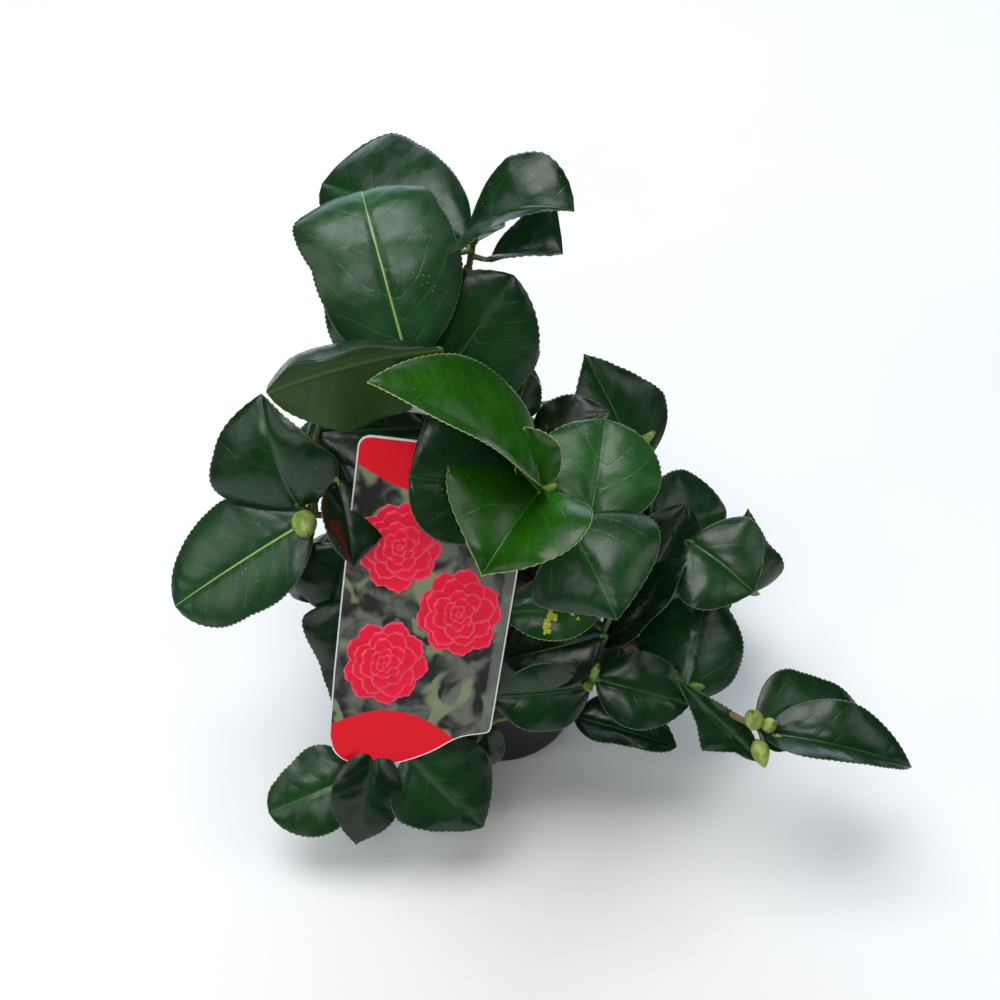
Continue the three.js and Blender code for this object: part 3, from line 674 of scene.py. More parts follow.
def addFleck(sheaf, grid, normal, share, across, size):  # an uneven pale patch that lies on the blade
    a, b = np.meshgrid(np.linspace(-1, 1, 9), np.linspace(-1, 1, 9), indexing="ij")
    angle = np.arctan2(b, a)
    ragged = 1 + 0.3 * np.sin(3 * angle + 7 * share) + 0.2 * np.sin(5 * angle)
    ring = np.maximum(np.abs(a), np.abs(b)) * size * ragged
    k, r = int(share * (len(grid) - 1)), np.array(blade["columns"])
    halfWidth = np.linalg.norm(grid[k, -1] - grid[k, 0]) / 2
    row = k + ring * np.cos(angle) / np.linalg.norm(grid[k + 1, len(r)] - grid[k, len(r)])
    column = np.interp(across / halfWidth + ring * np.sin(angle) / halfWidth, np.concatenate([-r[:0:-1], r]),
                       np.arange(2 * len(r) - 1))
    i, j = np.minimum(row.astype(int), len(grid) - 2), np.minimum(column.astype(int), 2 * len(r) - 3)
    f, g = (row - i)[..., None], (column - j)[..., None]
    spot, lift = ((1 - f) * ((1 - g) * part[i, j] + g * part[i, j + 1])
                  + f * ((1 - g) * part[i + 1, j] + g * part[i + 1, j + 1]) for part in (grid, normal))
    points, upper, lower, rim, _ = shell(spot + lift * 0.15, np.full(spot.shape[:2], 0.25))
    last = len(toneNames) + 2
    sheaf.add(points, [(upper, last), (lower, last), (rim, last)], np.zeros((len(points), 3)))


def addLeaf(sheaf, leaf):
    grid, thick, place, start = leafGrid(leaf)
    points, upper, lower, rim, normal = shell(grid, thick)
    flat = place.reshape(-1, 3)
    tone = toneNames.index(leaf["tone"])
    under = len(toneNames) + (1 if leaf["tone"] == "young" else 0)
    sheaf.add(points, [(upper, tone), (lower, under), (rim, tone)], np.concatenate([flat, flat]))
    for fleck in leaf.get("flecks", ()):
        addFleck(sheaf, grid, normal, *fleck)
    return grid, start


# Shoots. Each spray: the twigs that grow on from its bough's end, and the leaves that were placed one by one
# as (base, tip, width, (azimuth, height) its upper side faces, tone, bend, fold, other bends).
sprays = {
    "crown_top": {
        "twigs": [[(-11, 14, 243), (-9, 15, 254)]],
        "leaves": [
            ((-12, 24, 247), (-69, 61, 249), 63, (-75, 50), "deep", 30, 4,
             {"wide": 0.62, "point": 0.42, "right": (1.1, 1, 0.96, 0.98, 1.08, 1),
              "left": (1, 1, 1, 1, 0.6, 0.4)}),
            ((-15, 12, 252), (27.5, 0, 280), 43, (-100, 75), "deep", 100, (32, 35),
             {"wide": 0.66, "point": 0.75, "left": (0.3, 0.1, 0.45, 0.96, 1.05, 1),
              "right": (1, 0.9, 0.8, 0.5, 0.15, 0.1)}),
            ((-3, 13, 248), (24, 4, 258), 38, (-100, 60), "deep", 50, (20, 76),
             {"wide": 0.75, "left": (0.5, 0.6, 0.8, 1.05, 1.2, 1)}),
        ],
        "more": 5, "reach": (150, 35),
    },
    "crown_front": {
        "twigs": [[(-26, 8, 200), (-29, -4, 212), (-29, -14, 220)]],
        "leaves": [
            ((-33, -20, 225), (-50.7, 28, 268.9), 61, (-88, 45), "ribbed", 75, 6,
             {"bias": 2.4, "wide": 0.55, "point": 0.25, "left": (1, 0.95, 0.85, 0.84, 1.02, 1.25),
              "right": (1, 1, 1, 0.96, 0.95, 1.1)}),
            ((-24, -8, 203), (6, 4, 248), 54, (-75, 42), "mid", 30, 8,
             {"wide": 0.42, "point": 0.75, "left": (0.9, 0.9, 0.9, 0.9, 1, 1)}),
            ((-21.5, -20, 233), (-85.9, -26, 216.7), 60, (90, 5), "deep", 20, 4,
             {"recurve": (-85, -20), "wide": 0.5, "point": 0.6, "wave": 1.8,
              "left": (1, 1, 1.1, 1.3, 1.3, 1)}),
        ],
        "more": 4, "reach": (100, 20),
    },
    "crown_left": {
        "twigs": [[(-27, 6, 184), (-31, 0, 180)]],
        "leaves": [
            ((-28, -6, 180), (-70, -14, 185), 42, (-90, 50), "dark", 20, 12, {}),
        ],
        "more": 4, "reach": (170, 10),
    },
    "heart": {
        "twigs": [[(-27, 7, 192), (-21, -2, 192)]],
        "leaves": [
            ((14, -50, 189), (-32, -62, 208), 46, (-90, 40), "deep", 20, 12,
             {"wide": 0.6, "point": 0.5, "right": (1, 1.15, 1.35, 1.6, 1.8, 1.6)}),
            ((5, 6, 168), (12, 10, 196), 20, (-60, 35), "mid", 10, 10, {}),
        ],
        "more": 4, "reach": (40, 15),
    },
    "young": {
        "twigs": [[(19, -48, 182), (16, -54, 192)]],
        "leaves": [
            ((16, -54, 193), (-46, -49, 242), 52, (-60, 75), "young", 50, (62, 14),
             {"wide": 0.55, "foot": 0.75, "right": (1.1, 1.2, 1.15, 1.05, 1, 1),
              "flecks": ((0.55, -3.0, 0.6),)}),
            ((16, -54, 193), (-6, -88, 183), 56, (-90, 60), "young", 60, (42, 24),
             {"wide": 0.36, "point": 1.4, "foot": 0.42, "right": (1.25, 1.25, 1.15, 1.1, 1, 1)}),
            ((17, -52, 191), (10, -42, 214), 22, (-70, 45), "young", 10, 10,
             {"left": (1, 0.9, 0.8, 0.7, 0.7, 0.7)}),
        ],
        "more": 0, "reach": (0, 0),
    },
    "centre": {
        "twigs": [[(26, -36, 158), (30, -36, 162)], [(25, -37, 150), (21, -43, 154)]],
        "leaves": [
            ((35, -44, 162), (42, -8, 187), 50, (-90, 45), "fresh", 30, 10, {"wide": 0.5, "point": 0.6}),
            ((25, -42, 166), (45, -80, 150), 60, (-80, 56), "mid", 60, (6, -28),
             {"wide": 0.42, "point": 1.1, "left": (1.1, 1.1, 1.05, 1, 1, 1)}),
            ((14, 0, 163), (45, 6, 178), 30, (-90, 60), "dark", 30, 10, {}),
        ],
        "more": 4, "reach": (20, 0),
    },
    "upper_right": {
        "twigs": [[(53, 11, 152), (58, 12, 154)]],
        "leaves": [
            ((59, 10, 144), (35, 32, 186), 44, (-75, 48), "deep", 20, (30, 8),
             {"point": 1.3, "bias": 1.4, "right": (1.1, 1.1, 1.05, 0.85, 0.8, 1)}),
        ],
        "more": 5, "reach": (60, 5),
    },
    "right": {
        "twigs": [[(77, -5, 110), (84, -2, 106), (96, 1, 94), (103, 4, 82)], [(60, -5, 109), (60, -12,
              112)]],
        "leaves": [
            ((64, 0, 114), (99, 22, 106), 46, (-80, 45), "deep", 30, 10, {}),
            ((64, -16, 103), (79, 4, 128), 34, (-60, 35), "dark", 20, 10, {}),
            ((80, -8, 118), (106, -26, 106), 46, (-78, 55), "mid", 40, 14, {}),
            ((110, 4, 72), (109, 26, 103), 34, (-40, 45), "deep", 30, 14,
             {"wide": 0.3, "point": 1.1, "foot": 0.5, "right": (1.2, 1.15, 1, 0.6, 0.4, 0.5)}),
        ],
        "more": 5, "reach": (60, 0),
    },
    "low_right": {
        "twigs": [[(70, -53, 83), (78, -53, 78)], [(42, -32, 91), (48, -34, 87)]],
        "leaves": [
            ((43.3, -44, 92.4), (77.8, -20, 120.5), 36, (150, 60), "dark", 20, 14, {}),
            ((77, -52, 70), (90, -10, 95), 44, (-90, 48), "deep", 30, (-16, -12),
             {"foot": 0.35, "left": (1, 1.1, 1.2, 1.2, 1.1, 1), "right": (1, 1.1, 1.1, 1.1, 1.1, 1)}),
            ((107, -80, 63), (72, -62, 95), 24, (-95, 48), "deep", 12, 10,
             {"wide": 0.4, "left": (0.5, 0.44, 1.15, 0.7, 0.5, 0.5),
              "right": (0.6, 0.6, 0.6, 0.45, 0.3, 0.3)}),
        ],
        "more": 4, "reach": (60, -10),
    },
    "far_right": {
        "twigs": [[(105, -76, 80), (110, -79, 80)]],
        "leaves": [
            ((104, -76, 82), (155, -60, 63), 44, (-90, 60), "deep", 30, 12,
             {"wide": 0.36, "left": (1.2, 1.1, 0.95, 0.9, 0.95, 1), "right": (1, 0.6, 0.4, 0.4, 0.6, 1)}),
            ((108, -78, 79), (169, -84, 64), 37, (-90, 62), "deep", 60, (14, 62),
             {"point": 1.3, "right": (1, 0.9, 0.65, 0.55, 0.6, 1)}),
        ],
        "more": 0, "reach": (40, -10),
    },
    "front_right": {
        "twigs": [[(39, -57, 86), (39, -60, 92)], [(37, -53, 88), (40, -48, 95)],
                  [(38, -57, 85), (22, -62, 78), (4, -63, 70)]],
        "leaves": [
            ((42, -46, 120), (0, -50, 121), 26, (-90, 50), "fresh", 20, 12,
             {"flecks": ((0.52, -3.0, 2.2), (0.55, -6.0, 1.6), (0.56, -8.5, 1.5), (0.3, -2.5, 0.8), (0.25,
              -4.5, 0.7))}),
            ((43, -50, 107), (2, -54, 96), 34, (-90, 45), "dark", 20, 14, {}),
            ((40, -60, 91), (79, -64, 80), 32, (-90, 50), "deep", 30, 10, {}),
            ((32, -58, 64), (75, -66, 54), 32, (-90, 55), "deep", 20, (10, 60),
             {"point": 1.0, "right": (1, 0.9, 0.6, 0.55, 0.7, 1)}),
            ((38, -60, 86), (-4, -68, 90), 32, (-90, 25), "deep", 30, 25, {}),
            ((-3, -64, 67), (-16, -72, 43), 24, (-60, 45), "dark", 10, 14, {}),
            ((44, -40, 60), (56, -22, 78), 38, (-90, 45), "dark", 20, 10, {"wide": 0.5, "point": 0.6}),
        ],
        "more": 3, "reach": (-90, -30),
    },
    "left": {
        "twigs": [[(-74, -29, 155), (-77, -29, 160)], [(-72, -28, 155), (-72, -20, 176), (-69, -14, 189)],
                  [(-68, -27, 153), (-64, -36, 167), (-62, -39, 173)]],
        "leaves": [
            ((-73, -32, 156), (-129, -48, 122), 43, (-90, 55), "ribbed", 25, 10,
             {"wide": 0.5, "point": 0.6, "right": (1, 1.15, 1.2, 1.12, 1, 1),
              "left": (1, 1.05, 1.02, 0.96, 1.05, 1.1)}),
            ((-78, -30, 160), (-91, -8, 200), 54, (-120, 45), "deep", 60, 14,
             {"right": (1, 1, 0.92, 0.66, 0.45, 0.4), "left": (1.2, 1.2, 1.1, 1, 1, 1)}),
            ((-68, -10, 185), (-54, -34, 165), 32, (-70, 45), "dark", 20, 14, {}),
            ((-60, -44, 188), (-54, -66, 164), 38, (-60, 40), "dark", 20, (8, 60),
             {"wide": 0.38, "point": 1.3}),
        ],
        "more": 4, "reach": (140, 0),
    },
    "mid_left": {
        "twigs": [[(-55, -39, 126), (-58, -44, 120)], [(-50, -36, 124), (-48, -35, 130)]],
        "leaves": [
            ((-58, -36, 146), (-67, -50, 118), 46, (-90, 40), "dark", 20, 14, {}),
            ((-57, -52, 128), (-63, -72, 84), 36, (-110, 40), "dark", 20, 14,
             {"wide": 0.3, "point": 0.9, "right": (1.2, 1.2, 0.95, 0.7, 0.6, 1),
              "left": (0.6, 0.5, 0.4, 0.35, 0.4, 0.5)}),
        ],
        "more": 4, "reach": (150, 0),
    },
    "front_left": {
        "twigs": [[(-43, -67, 73), (-53, -69, 62)], [(-38, -59, 79), (-34, -66, 72)]],
        "leaves": [
            ((-57, -74, 47), (-96, -86, 35), 36, (-90, 50), "mid", 30, 10,
             {"wide": 0.5, "point": 0.65, "right": (1.2, 1.2, 1.05, 0.85, 0.8, 1)}),
            ((-50, -76, 66), (-59, -98, 29), 30, (-80, 45), "dark", 30, 20, {"point": 1.3}),
            ((-37, -76, 64), (-6, -92, 33), 46, (-80, 45), "deep", 20, 10,
             {"point": 1.1, "right": (1, 1.05, 1.0, 0.85, 0.8, 1)}),
        ],
        "more": 2, "reach": (-120, -30),
    },
    "back_left": {"twigs": [[(-45, 43, 138), (-50, 50, 140)]], "leaves": [], "more": 8, "reach": (130, 10)},
    "back_right": {"twigs": [[(49, 47, 120), (54, 54, 122)]], "leaves": [], "more": 11, "reach": (50, 0)},
    "back": {"twigs": [[(0, 53, 172), (2, 62, 176)]], "leaves": [], "more": 10, "reach": (90, 15)},
}
slotOf = {"young": "young_leaf", "heart": "dark_leaf", "back": "dark_leaf", "back_left": "dark_leaf",
          "back_right": "dark_leaf", "mid_left": "dark_leaf"}


def readLeaf(row, seed):
    base, tip, width, faces, tone, bend, fold, more = row
    return {"base": base, "tip": tip, "width": width, "faces": faces, "tone": tone, "bend": bend,
            "fold": fold, "seed": seed, **more}


placed = {name: [readLeaf(row, 7 * k + len(name)) for k, row in enumerate(spray["leaves"])]
          for name, spray in sprays.items()}


# Leaves that the rule adds stand behind the placed ones as seen from the front, and leave the sky open.
viewpoint = {"at": np.array([0.9, -534.0, 668.07]), "down": 45.0, "lens": 65.8, "picture": 1000}
openSky = {"spots": [(459, 263), (280, 414), (633, 638), (505, 264), (560, 385), (662, 462), (735, 512),
                    (741, 692), (730, 708), (752, 662)], "reach": 14}


def inPicture(points):  # where points show, in picture units of 1000 across, and how far off they are
    tilt = math.radians(viewpoint["down"])
    rel = np.asarray(points, float).reshape(-1, 3) - viewpoint["at"]
    ahead = rel @ np.array([0, math.cos(tilt), -math.sin(tilt)])
    up = rel @ np.array([0, math.sin(tilt), math.cos(tilt)])
    zoom = viewpoint["lens"] / 36 * viewpoint["picture"]
    return np.stack([500 + zoom * rel[:, 0] / ahead, 500 - zoom * up / ahead], -1), ahead


class FrontView:  # a coarse picture of how near the plant is, seen from the front
    cell = 5

    def __init__(self):
        self.depth = np.full((200, 200), np.inf)

    def cells(self, points):
        spots, depth = inPicture(points)
        return np.clip((spots / self.cell).astype(int), 0, 199), depth

    def cover(self, grid):
        fine = np.concatenate([grid.reshape(-1, 3), ((grid[1:] + grid[:-1]) / 2).reshape(-1, 3)])
        spots, depth = self.cells(fine)
        np.minimum.at(self.depth, (spots[:, 1], spots[:, 0]), depth)

    def closeGaps(self, steps=3):  # small gaps between the leaves count as crown
        mask = np.isfinite(self.depth)
        grown = mask.copy()
        moves = ((1, 0), (-1, 0), (1, 1), (-1, 1))  # by how many cells, along which axis
        for _ in range(steps):
            grown = grown | np.logical_or.reduce([np.roll(grown, *move) for move in moves])
        for _ in range(steps):
            grown = grown & np.logical_and.reduce([np.roll(grown, *move) for move in moves])
        self.crown = grown | mask
        down, across = np.mgrid[:200, :200] * self.cell + self.cell / 2
        for x, y in openSky["spots"]:  # but the sky seen through the crown stays open
            self.crown &= np.hypot(across - x, down - y) > openSky["reach"]

    def hides(self, points):  # share of the points that stand behind the crown
        spots, depth = self.cells(points)
        there = self.depth[spots[:, 1], spots[:, 0]]
        ok = np.where(np.isfinite(there), there < depth + 1.0, True) & self.crown[spots[:, 1], spots[:, 0]]
        return ok.mean()


growth = {"seed": 23, "turn": 144.0, "length": (46, 64), "widthShare": (0.55, 0.68), "spread": (38, 88),
          "bend": (15, 45), "fold": (8, 20), "tries": 90, "clear": 5.0, "far": 90,
          "behind": 0.985, "potGap": 5, "potLip": 2,
          "tones": ("dark", "dark", "deep", "deep", "mid")}  # lengths in mm, angles in degrees


def nearest(point, lines):  # the closest point of the lines to a point
    best = None
    for line in lines:
        gap = np.linalg.norm(line - point, axis=1)
        k = int(np.argmin(gap))
        if best is None or gap[k] < best[0]:
            best = (gap[k], line[k], unit(line[min(k + 1, len(line) - 1)] - line[max(k - 1, 0)]))
    return best


def growLeaf(rule, tipPoint, axis, order):
    # alternate leaves round the shoot, each turned by 144 degrees from the one below
    first = unit(np.cross(axis, [0.3, 0.1, 1.0]))
    second = np.cross(axis, first)
    roll = math.radians(growth["turn"] * order + rule.uniform(-40, 40))
    spread = math.radians(rule.uniform(*growth["spread"]))
    ahead = axis * math.cos(spread) + (first * math.cos(roll) + second * math.sin(roll)) * math.sin(spread)
    ahead = unit(ahead + np.array([0, 0, rule.uniform(-0.25, 0.1)]))
    back = tipPoint - axis * rule.uniform(0, 8)
    base = back + ahead * rule.uniform(7, 11)
    length = rule.uniform(*growth["length"])
    tip = base + ahead * length
    outward = unit([base[0], base[1], 0.001])
    stray = np.array([rule.uniform(-0.3, 0.3), rule.uniform(-0.3, 0.3), 0])
    look = unit(np.array([0, 0, 0.9]) + outward * 0.5 + stray)
    return {"base": base, "tip": tip, "width": length * rule.uniform(*growth["widthShare"]),
            "faces": (math.degrees(math.atan2(look[1], look[0])), math.degrees(math.asin(look[2]))),
            "bend": rule.uniform(*growth["bend"]), "fold": rule.uniform(*growth["fold"]),
            "tone": rule.choice(growth["tones"]), "seed": rule.randint(0, 99)}


def fits(grid, others, view, low, high):
    points = grid[::4, ::3].reshape(-1, 3)
    if (points < low).any() or (points > high).any():
        return False
    overPot = np.hypot(points[:, 0], points[:, 1]) < pot["rim"] + growth["potGap"]
    if (points[overPot][:, 2] < pot["height"] - growth["potLip"]).any():
        return False
    if view.hides(grid[::2, ::2].reshape(-1, 3)) < growth["behind"]:
        return False
    far = points[len(points) // 5:]
    for other in others:
        if np.abs(other.mean(0) - points.mean(0)).max() > growth["far"]:
            continue
        gap = np.linalg.norm(far[:, None] - other[None], axis=2).min()
        if gap < growth["clear"]:
            return False
    return True


view = FrontView()
grids = []
for leaves in placed.values():
    for leaf in leaves:
        grid = leafGrid(leaf)[0]
        view.cover(grid)
        grids.append(grid[::4, ::3].reshape(-1, 3))
view.closeGaps()
boxLow, boxHigh = np.array(cadBox[0]) / mm + 1, np.array(cadBox[1]) / mm - 1
rule = random.Random(growth["seed"])


def grown(name, spots, order):  # tries to grow one more leaf of a spray from a (point, direction) spot
    for _ in range(growth["tries"]):
        point, axis = spots[0] if len(spots) == 1 else rule.choice(spots)
        leaf = growLeaf(rule, point, axis, order)
        grid = leafGrid(leaf)[0]
        if fits(grid, grids, view, boxLow, boxHigh):
            placed[name].append(leaf)
            grids.append(grid[::4, ::3].reshape(-1, 3))
            return True
    return False


for name, spray in sprays.items():
    tipSpot = [(np.array(spray["twigs"][0][-1], float), facing(*spray["reach"]))]
    found = sum(grown(name, tipSpot, order) for order in range(spray["more"]))
    print(f"{name}: {len(spray['leaves'])} placed leaves, {found} of {spray['more']} grown")

# The same rule goes on down the limbs behind. Each row: the spray that the leaves join, the limb, the share
# of it from which they may start, and how many are tried.
limbLeaves = [("back", boughPaths["back"][0], 0.35, 9), ("back_left", boughPaths["back_left"][0], 0.35, 9),
              ("back_right", boughPaths["back_right"][0], 0.35, 9), ("crown_left", stemPath, 0.55, 12),
              ("back", stemPath, 0.35, 8)]
for name, limb, low, count in limbLeaves:
    spots = [(limb[k], unit(limb[k + 2] - limb[k])) for k in range(int(low * len(limb)), len(limb) - 2)]
    found = sum(grown(name, spots, order) for order in range(count))
    print(f"{name}: {found} of {count} grown along a limb")

stalks, twigLines = [], []
stalk = {"foot": 1.25, "end": 0.85, "bow": 0.35}
for name, spray in sprays.items():
    lines = [smoothPath(points, 8) for points in spray["twigs"]]
    twigLines += [(line, np.linspace(1.35, 1.05, len(line))) for line in lines]
    carriers = lines + [path for path, _ in boughPaths.values()] + [stemPath]
    sheaf = Sheaf()
    for leaf in placed[name]:
        grid, start = addLeaf(sheaf, leaf)
        base = np.array(leaf["base"], float)
        gap, foot, along = nearest(base, lines if nearest(base, lines)[0] < 16 else carriers)
        reach = np.linalg.norm(base - foot)
        t = np.linspace(0, 1, 9)[:, None]
        leave = foot + unit(base - foot + along * reach * 0.4) * reach * stalk["bow"]
        meet, end = base - start * reach * 0.4, base + start * 2
        curve = (1 - t) ** 3 * foot + 3 * (1 - t) ** 2 * t * leave + 3 * (1 - t) * t * t * meet + t ** 3 * end
        stalks.append((curve, np.linspace(stalk["foot"], stalk["end"], len(curve))))
    piece = sheaf.mesh("spray_" + name, leafMaterials + underMaterials + [fleckMaterial], "leafPlace")
    handOver(piece, slotOf.get(name, "leaf"), "leaves_" + name)
handOver(makeTubes("twigs", twigLines, twigMaterial, 10, 1.2, 0.25, 500.0), "bark")
handOver(makeTubes("leaf_stalks", stalks, petioleMaterial, 8, 1.4, 0.12, 500.0), "leaf")
print("sprays made:", sum(len(leaves) for leaves in placed.values()), "leaves")


budPlaces = {
    # (base, (azimuth, height) it points to, length, girth)
    "flower": [((104, -78, 84), (-150, 70), 12, 3.4), ((105, -80, 77), (-80, -15), 12, 3.2),
               ((108, -78, 83), (-60, 60), 8, 2.6), ((-76, -33, 159), (-80, 5), 13, 4.4)],
    "leaf": [((38, -59, 89), (-50, 75), 15, 1.7), ((36, -61, 89), (-80, 35), 10, 1.5),
             ((110, -80, 80), (-30, -5), 9, 1.5),
             ((17, -54, 192), (-20, 50), 8, 1.4), ((-9, 15, 254), (-70, 80), 9, 1.6),
             ((79, -54, 79), (-30, 30), 8, 1.4), ((58, 12, 154), (20, 40), 9, 1.6),
             ((84, -2, 107), (30, 30), 8, 1.5), ((-50, 50, 140), (130, 40), 10, 1.7),
             ((54, 54, 122), (50, 40), 10, 1.7), ((2, 62, 176), (90, 50), 10, 1.7)],
}


def addBud(sheaf, base, points, length, girth, scales, plump):
    # overlapping scales in a spiral round an egg-shaped core
    base, axis = np.array(base, float), facing(*points)
    first = unit(np.cross(axis, [0.31, 0.2, 0.93]))
    second = np.cross(axis, first)
    for k in range(scales):
        low = 0.02 + 0.5 * k / scales
        t = np.linspace(low, min(1.0, low + 0.62 + 0.2 * k / scales), 9)[:, None]
        width = 1.25 * (1 - 0.3 * k / scales)
        u = np.linspace(-1, 1, 9)[None, :]
        lobe = np.sqrt(np.clip(1 - ((t - low) / (t[-1] - low)) ** 3, 0, 1))
        angle = math.radians(144 * k) + u * width * lobe
        radius = girth * np.sin(math.pi * np.clip(t, 0, 1) ** plump) ** 0.75
        radius = radius * (1 + 0.07 * (scales - k) / scales) + 0.1
        radius = radius * (1 - 0.04 * u ** 2)
        grid = (base + axis * (t * length)[..., None] * np.ones_like(u)[..., None]
                + first * (radius * np.cos(angle))[..., None] + second * (radius * np.sin(angle))[..., None])
        points3, upper, lower, rim, _ = shell(grid[:, ::-1], np.full(grid.shape[:2], 0.28))
        tipRows = np.repeat(np.arange(8), 8) >= 7
        sheaf.add(points3, [(upper[~tipRows], 0), (upper[tipRows], 1), (lower, 0), (rim, 1)])


budKinds = (("flower", 9, 0.72, flowerBudMaterial), ("leaf", 6, 0.6, leafBudMaterial))
for kind, scales, plump, material in budKinds:
    sheaf = Sheaf()
    for base, points, length, girth in budPlaces[kind]:
        addBud(sheaf, base, points, length, girth, scales, plump)
    handOver(sheaf.mesh(kind + "_buds", [material, budTipMaterial]), "young_leaf")
print("buds made")


# side is the grey of a painted highlight down the card's right side, and margin is where that highlight starts
card = {"width": 66.0, "length": 156.0, "thickness": 0.8, "corner": 5.0, "top": (-18, -45, 208),
        "foot": (-39, -80, 57), "white": 0.6, "band": 23.0, "footBand": 126.0, "margin": 28.5,
        "red": "#f20022", "ground": ("#1f1f1e", "#6d7168"), "leafy": "#8c9a72", "side": "#6f7671",
        "edge": "#e9ecea"}
cutFoot = [(31.5, 132.5), (20.5, 136.5), (10, 145.5), (-1.7, 152.5), (-13, 155.8), (-23, 155.0), (-29, 150.5),
           (-31.8, 142.5)]  # the foot is cut to a leaning oval
rosettes = {"places": ((-13, 47), (13, 75), (-13, 103)), "scale": 0.47, "tall": 1.24, "seed": 4,
            "reds": ("#d4001e", "#ff0a40", "#ff6a8a"),
            "rings": (  # petals, distance out, length, width
                (9, 24.0, 24.0, 26.0), (8, 18.0, 23.0, 22.0), (7, 12.0, 19.0, 18.0), (6, 7.0, 15.0, 14.0),
                (5, 3.2, 11.0, 10.0), (3, 1.0, 7.0, 6.5))}
cardDown = unit(np.array(card["foot"], float) - np.array(card["top"], float))
cardAcross = unit(np.array([1, 0, 0]) - cardDown * cardDown[0])
cardOut = np.cross(cardAcross, -cardDown)  # towards the front


def onCard(across, down, lift):
    across, down, lift = np.broadcast_arrays(across, down, lift)
    return (np.array(card["top"], float) + cardAcross * across[..., None] + cardDown * down[..., None]
            + cardOut * (card["thickness"] / 2 + lift)[..., None])


def cardMaterial():
    # satin printed card: a soft dark leafy ground, plain red at its head and foot, white at the cut edge, and
    # a painted grey highlight down its right side
    material, tree, shader = startMaterial("printed_card")
    place = addNode(tree, "ShaderNodeAttribute", {"attribute_name": "cardPlace"}).outputs["Vector"]
    across, down, edge = addNode(tree, "ShaderNodeSeparateXYZ", {0: place}).outputs
    soft = addNode(tree, "ShaderNodeTexNoise", {
        "Scale": 0.07, "Detail": 2.0, "Distortion": 0.6, "Vector": place})  # 14 mm
    shade = addNode(tree, "ShaderNodeMapRange", {**smoothStep, 0: soft, 1: 0.4, 2: 0.66, 3: 0, 4: 1})
    colour = addNode(tree, "ShaderNodeMix", {
        "data_type": "RGBA", 0: shade, 6: toLinear(card["ground"][0]), 7: toLinear(card["ground"][1])})
    patch = addNode(tree, "ShaderNodeTexNoise", {
        "Scale": 0.045, "Detail": 1.0, "Distortion": 1.5, "Vector": place})  # 22 mm
    leafy = addNode(tree, "ShaderNodeMapRange", {**smoothStep, 0: patch, 1: 0.55, 2: 0.66, 3: 0, 4: 0.8})
    # painted highlight: a grey strip over the card's right side, from margin outwards, stands in for the gloss
    # on its curled edge
    paintedEdgeHighlight = addNode(tree, "ShaderNodeMapRange", {
        **smoothStep, 0: across, 1: card["margin"] - 0.6, 2: card["margin"] + 0.6, 3: 0, 4: 0.7})

    # the red head hangs down towards its sides, and the red foot is bounded by an arc
    square = addNode(tree, "ShaderNodeMath", {"operation": "MULTIPLY", 0: across, 1: across})
    hang = addNode(tree, "ShaderNodeMath", {"operation": "MULTIPLY", 0: square, 1: 0.0105})
    low = addNode(tree, "ShaderNodeMath", {"operation": "ADD", 0: down, 1: hang})
    head = addNode(tree, "ShaderNodeMapRange", {
        **smoothStep, 0: low, 1: card["band"] - 0.15, 2: card["band"] + 0.15, 3: 1, 4: 0})
    lean = addNode(tree, "ShaderNodeMath", {"operation": "ADD", 0: across, 1: 7.0})
    leanSquare = addNode(tree, "ShaderNodeMath", {"operation": "MULTIPLY", 0: lean, 1: lean})
    drop = addNode(tree, "ShaderNodeMath", {"operation": "MULTIPLY", 0: leanSquare, 1: 0.0175})
    arc = addNode(tree, "ShaderNodeMath", {"operation": "SUBTRACT", 0: down, 1: drop})
    tail = addNode(tree, "ShaderNodeMapRange", {
        **smoothStep, 0: arc, 1: card["footBand"] - 0.15, 2: card["footBand"] + 0.15, 3: 0, 4: 1})
    red = addNode(tree, "ShaderNodeMath", {"operation": "MAXIMUM", 0: head, 1: tail})
    rim = addNode(tree, "ShaderNodeMapRange", {
        **smoothStep, 0: edge, 1: card["white"] - 0.2, 2: card["white"] + 0.1, 3: 1, 4: 0})
    for factor, part in ((leafy, "leafy"), (paintedEdgeHighlight, "side"), (red, "red"), (rim, "edge")):
        colour = addNode(tree, "ShaderNodeMix", {
            "data_type": "RGBA", 0: factor, 6: colour.outputs[2], 7: toLinear(card[part])})
    tree.links.new(colour.outputs[2], shader.inputs["Base Color"])
    shader.inputs["Roughness"].default_value = 0.4
    shader.inputs["Specular IOR Level"].default_value = 0.2
    return material


def petalMaterial():
    # printed petals: deeper red at the foot, pinker towards a fine pale rim
    material, tree, shader = startMaterial("printed_petals")
    place = addNode(tree, "ShaderNodeAttribute", {"attribute_name": "cardPlace"}).outputs["Vector"]
    split = addNode(tree, "ShaderNodeSeparateXYZ", {0: place})
    deep, pink, pale = (toLinear(code) for code in rosettes["reds"])
    colour = addNode(tree, "ShaderNodeMix", {"data_type": "RGBA", 0: split, 6: deep, 7: pink})
    rim = addNode(tree, "ShaderNodeMapRange", {
        **smoothStep, 0: split.outputs[1], 1: 0.0, 2: 1.6, 3: 0.7, 4: 0})
    colour = addNode(tree, "ShaderNodeMix", {"data_type": "RGBA", 0: rim, 6: colour.outputs[2], 7: pale})
    tree.links.new(colour.outputs[2], shader.inputs["Base Color"])
    shader.inputs["Roughness"].default_value = 0.4
    shader.inputs["Specular IOR Level"].default_value = 0.2
    return material


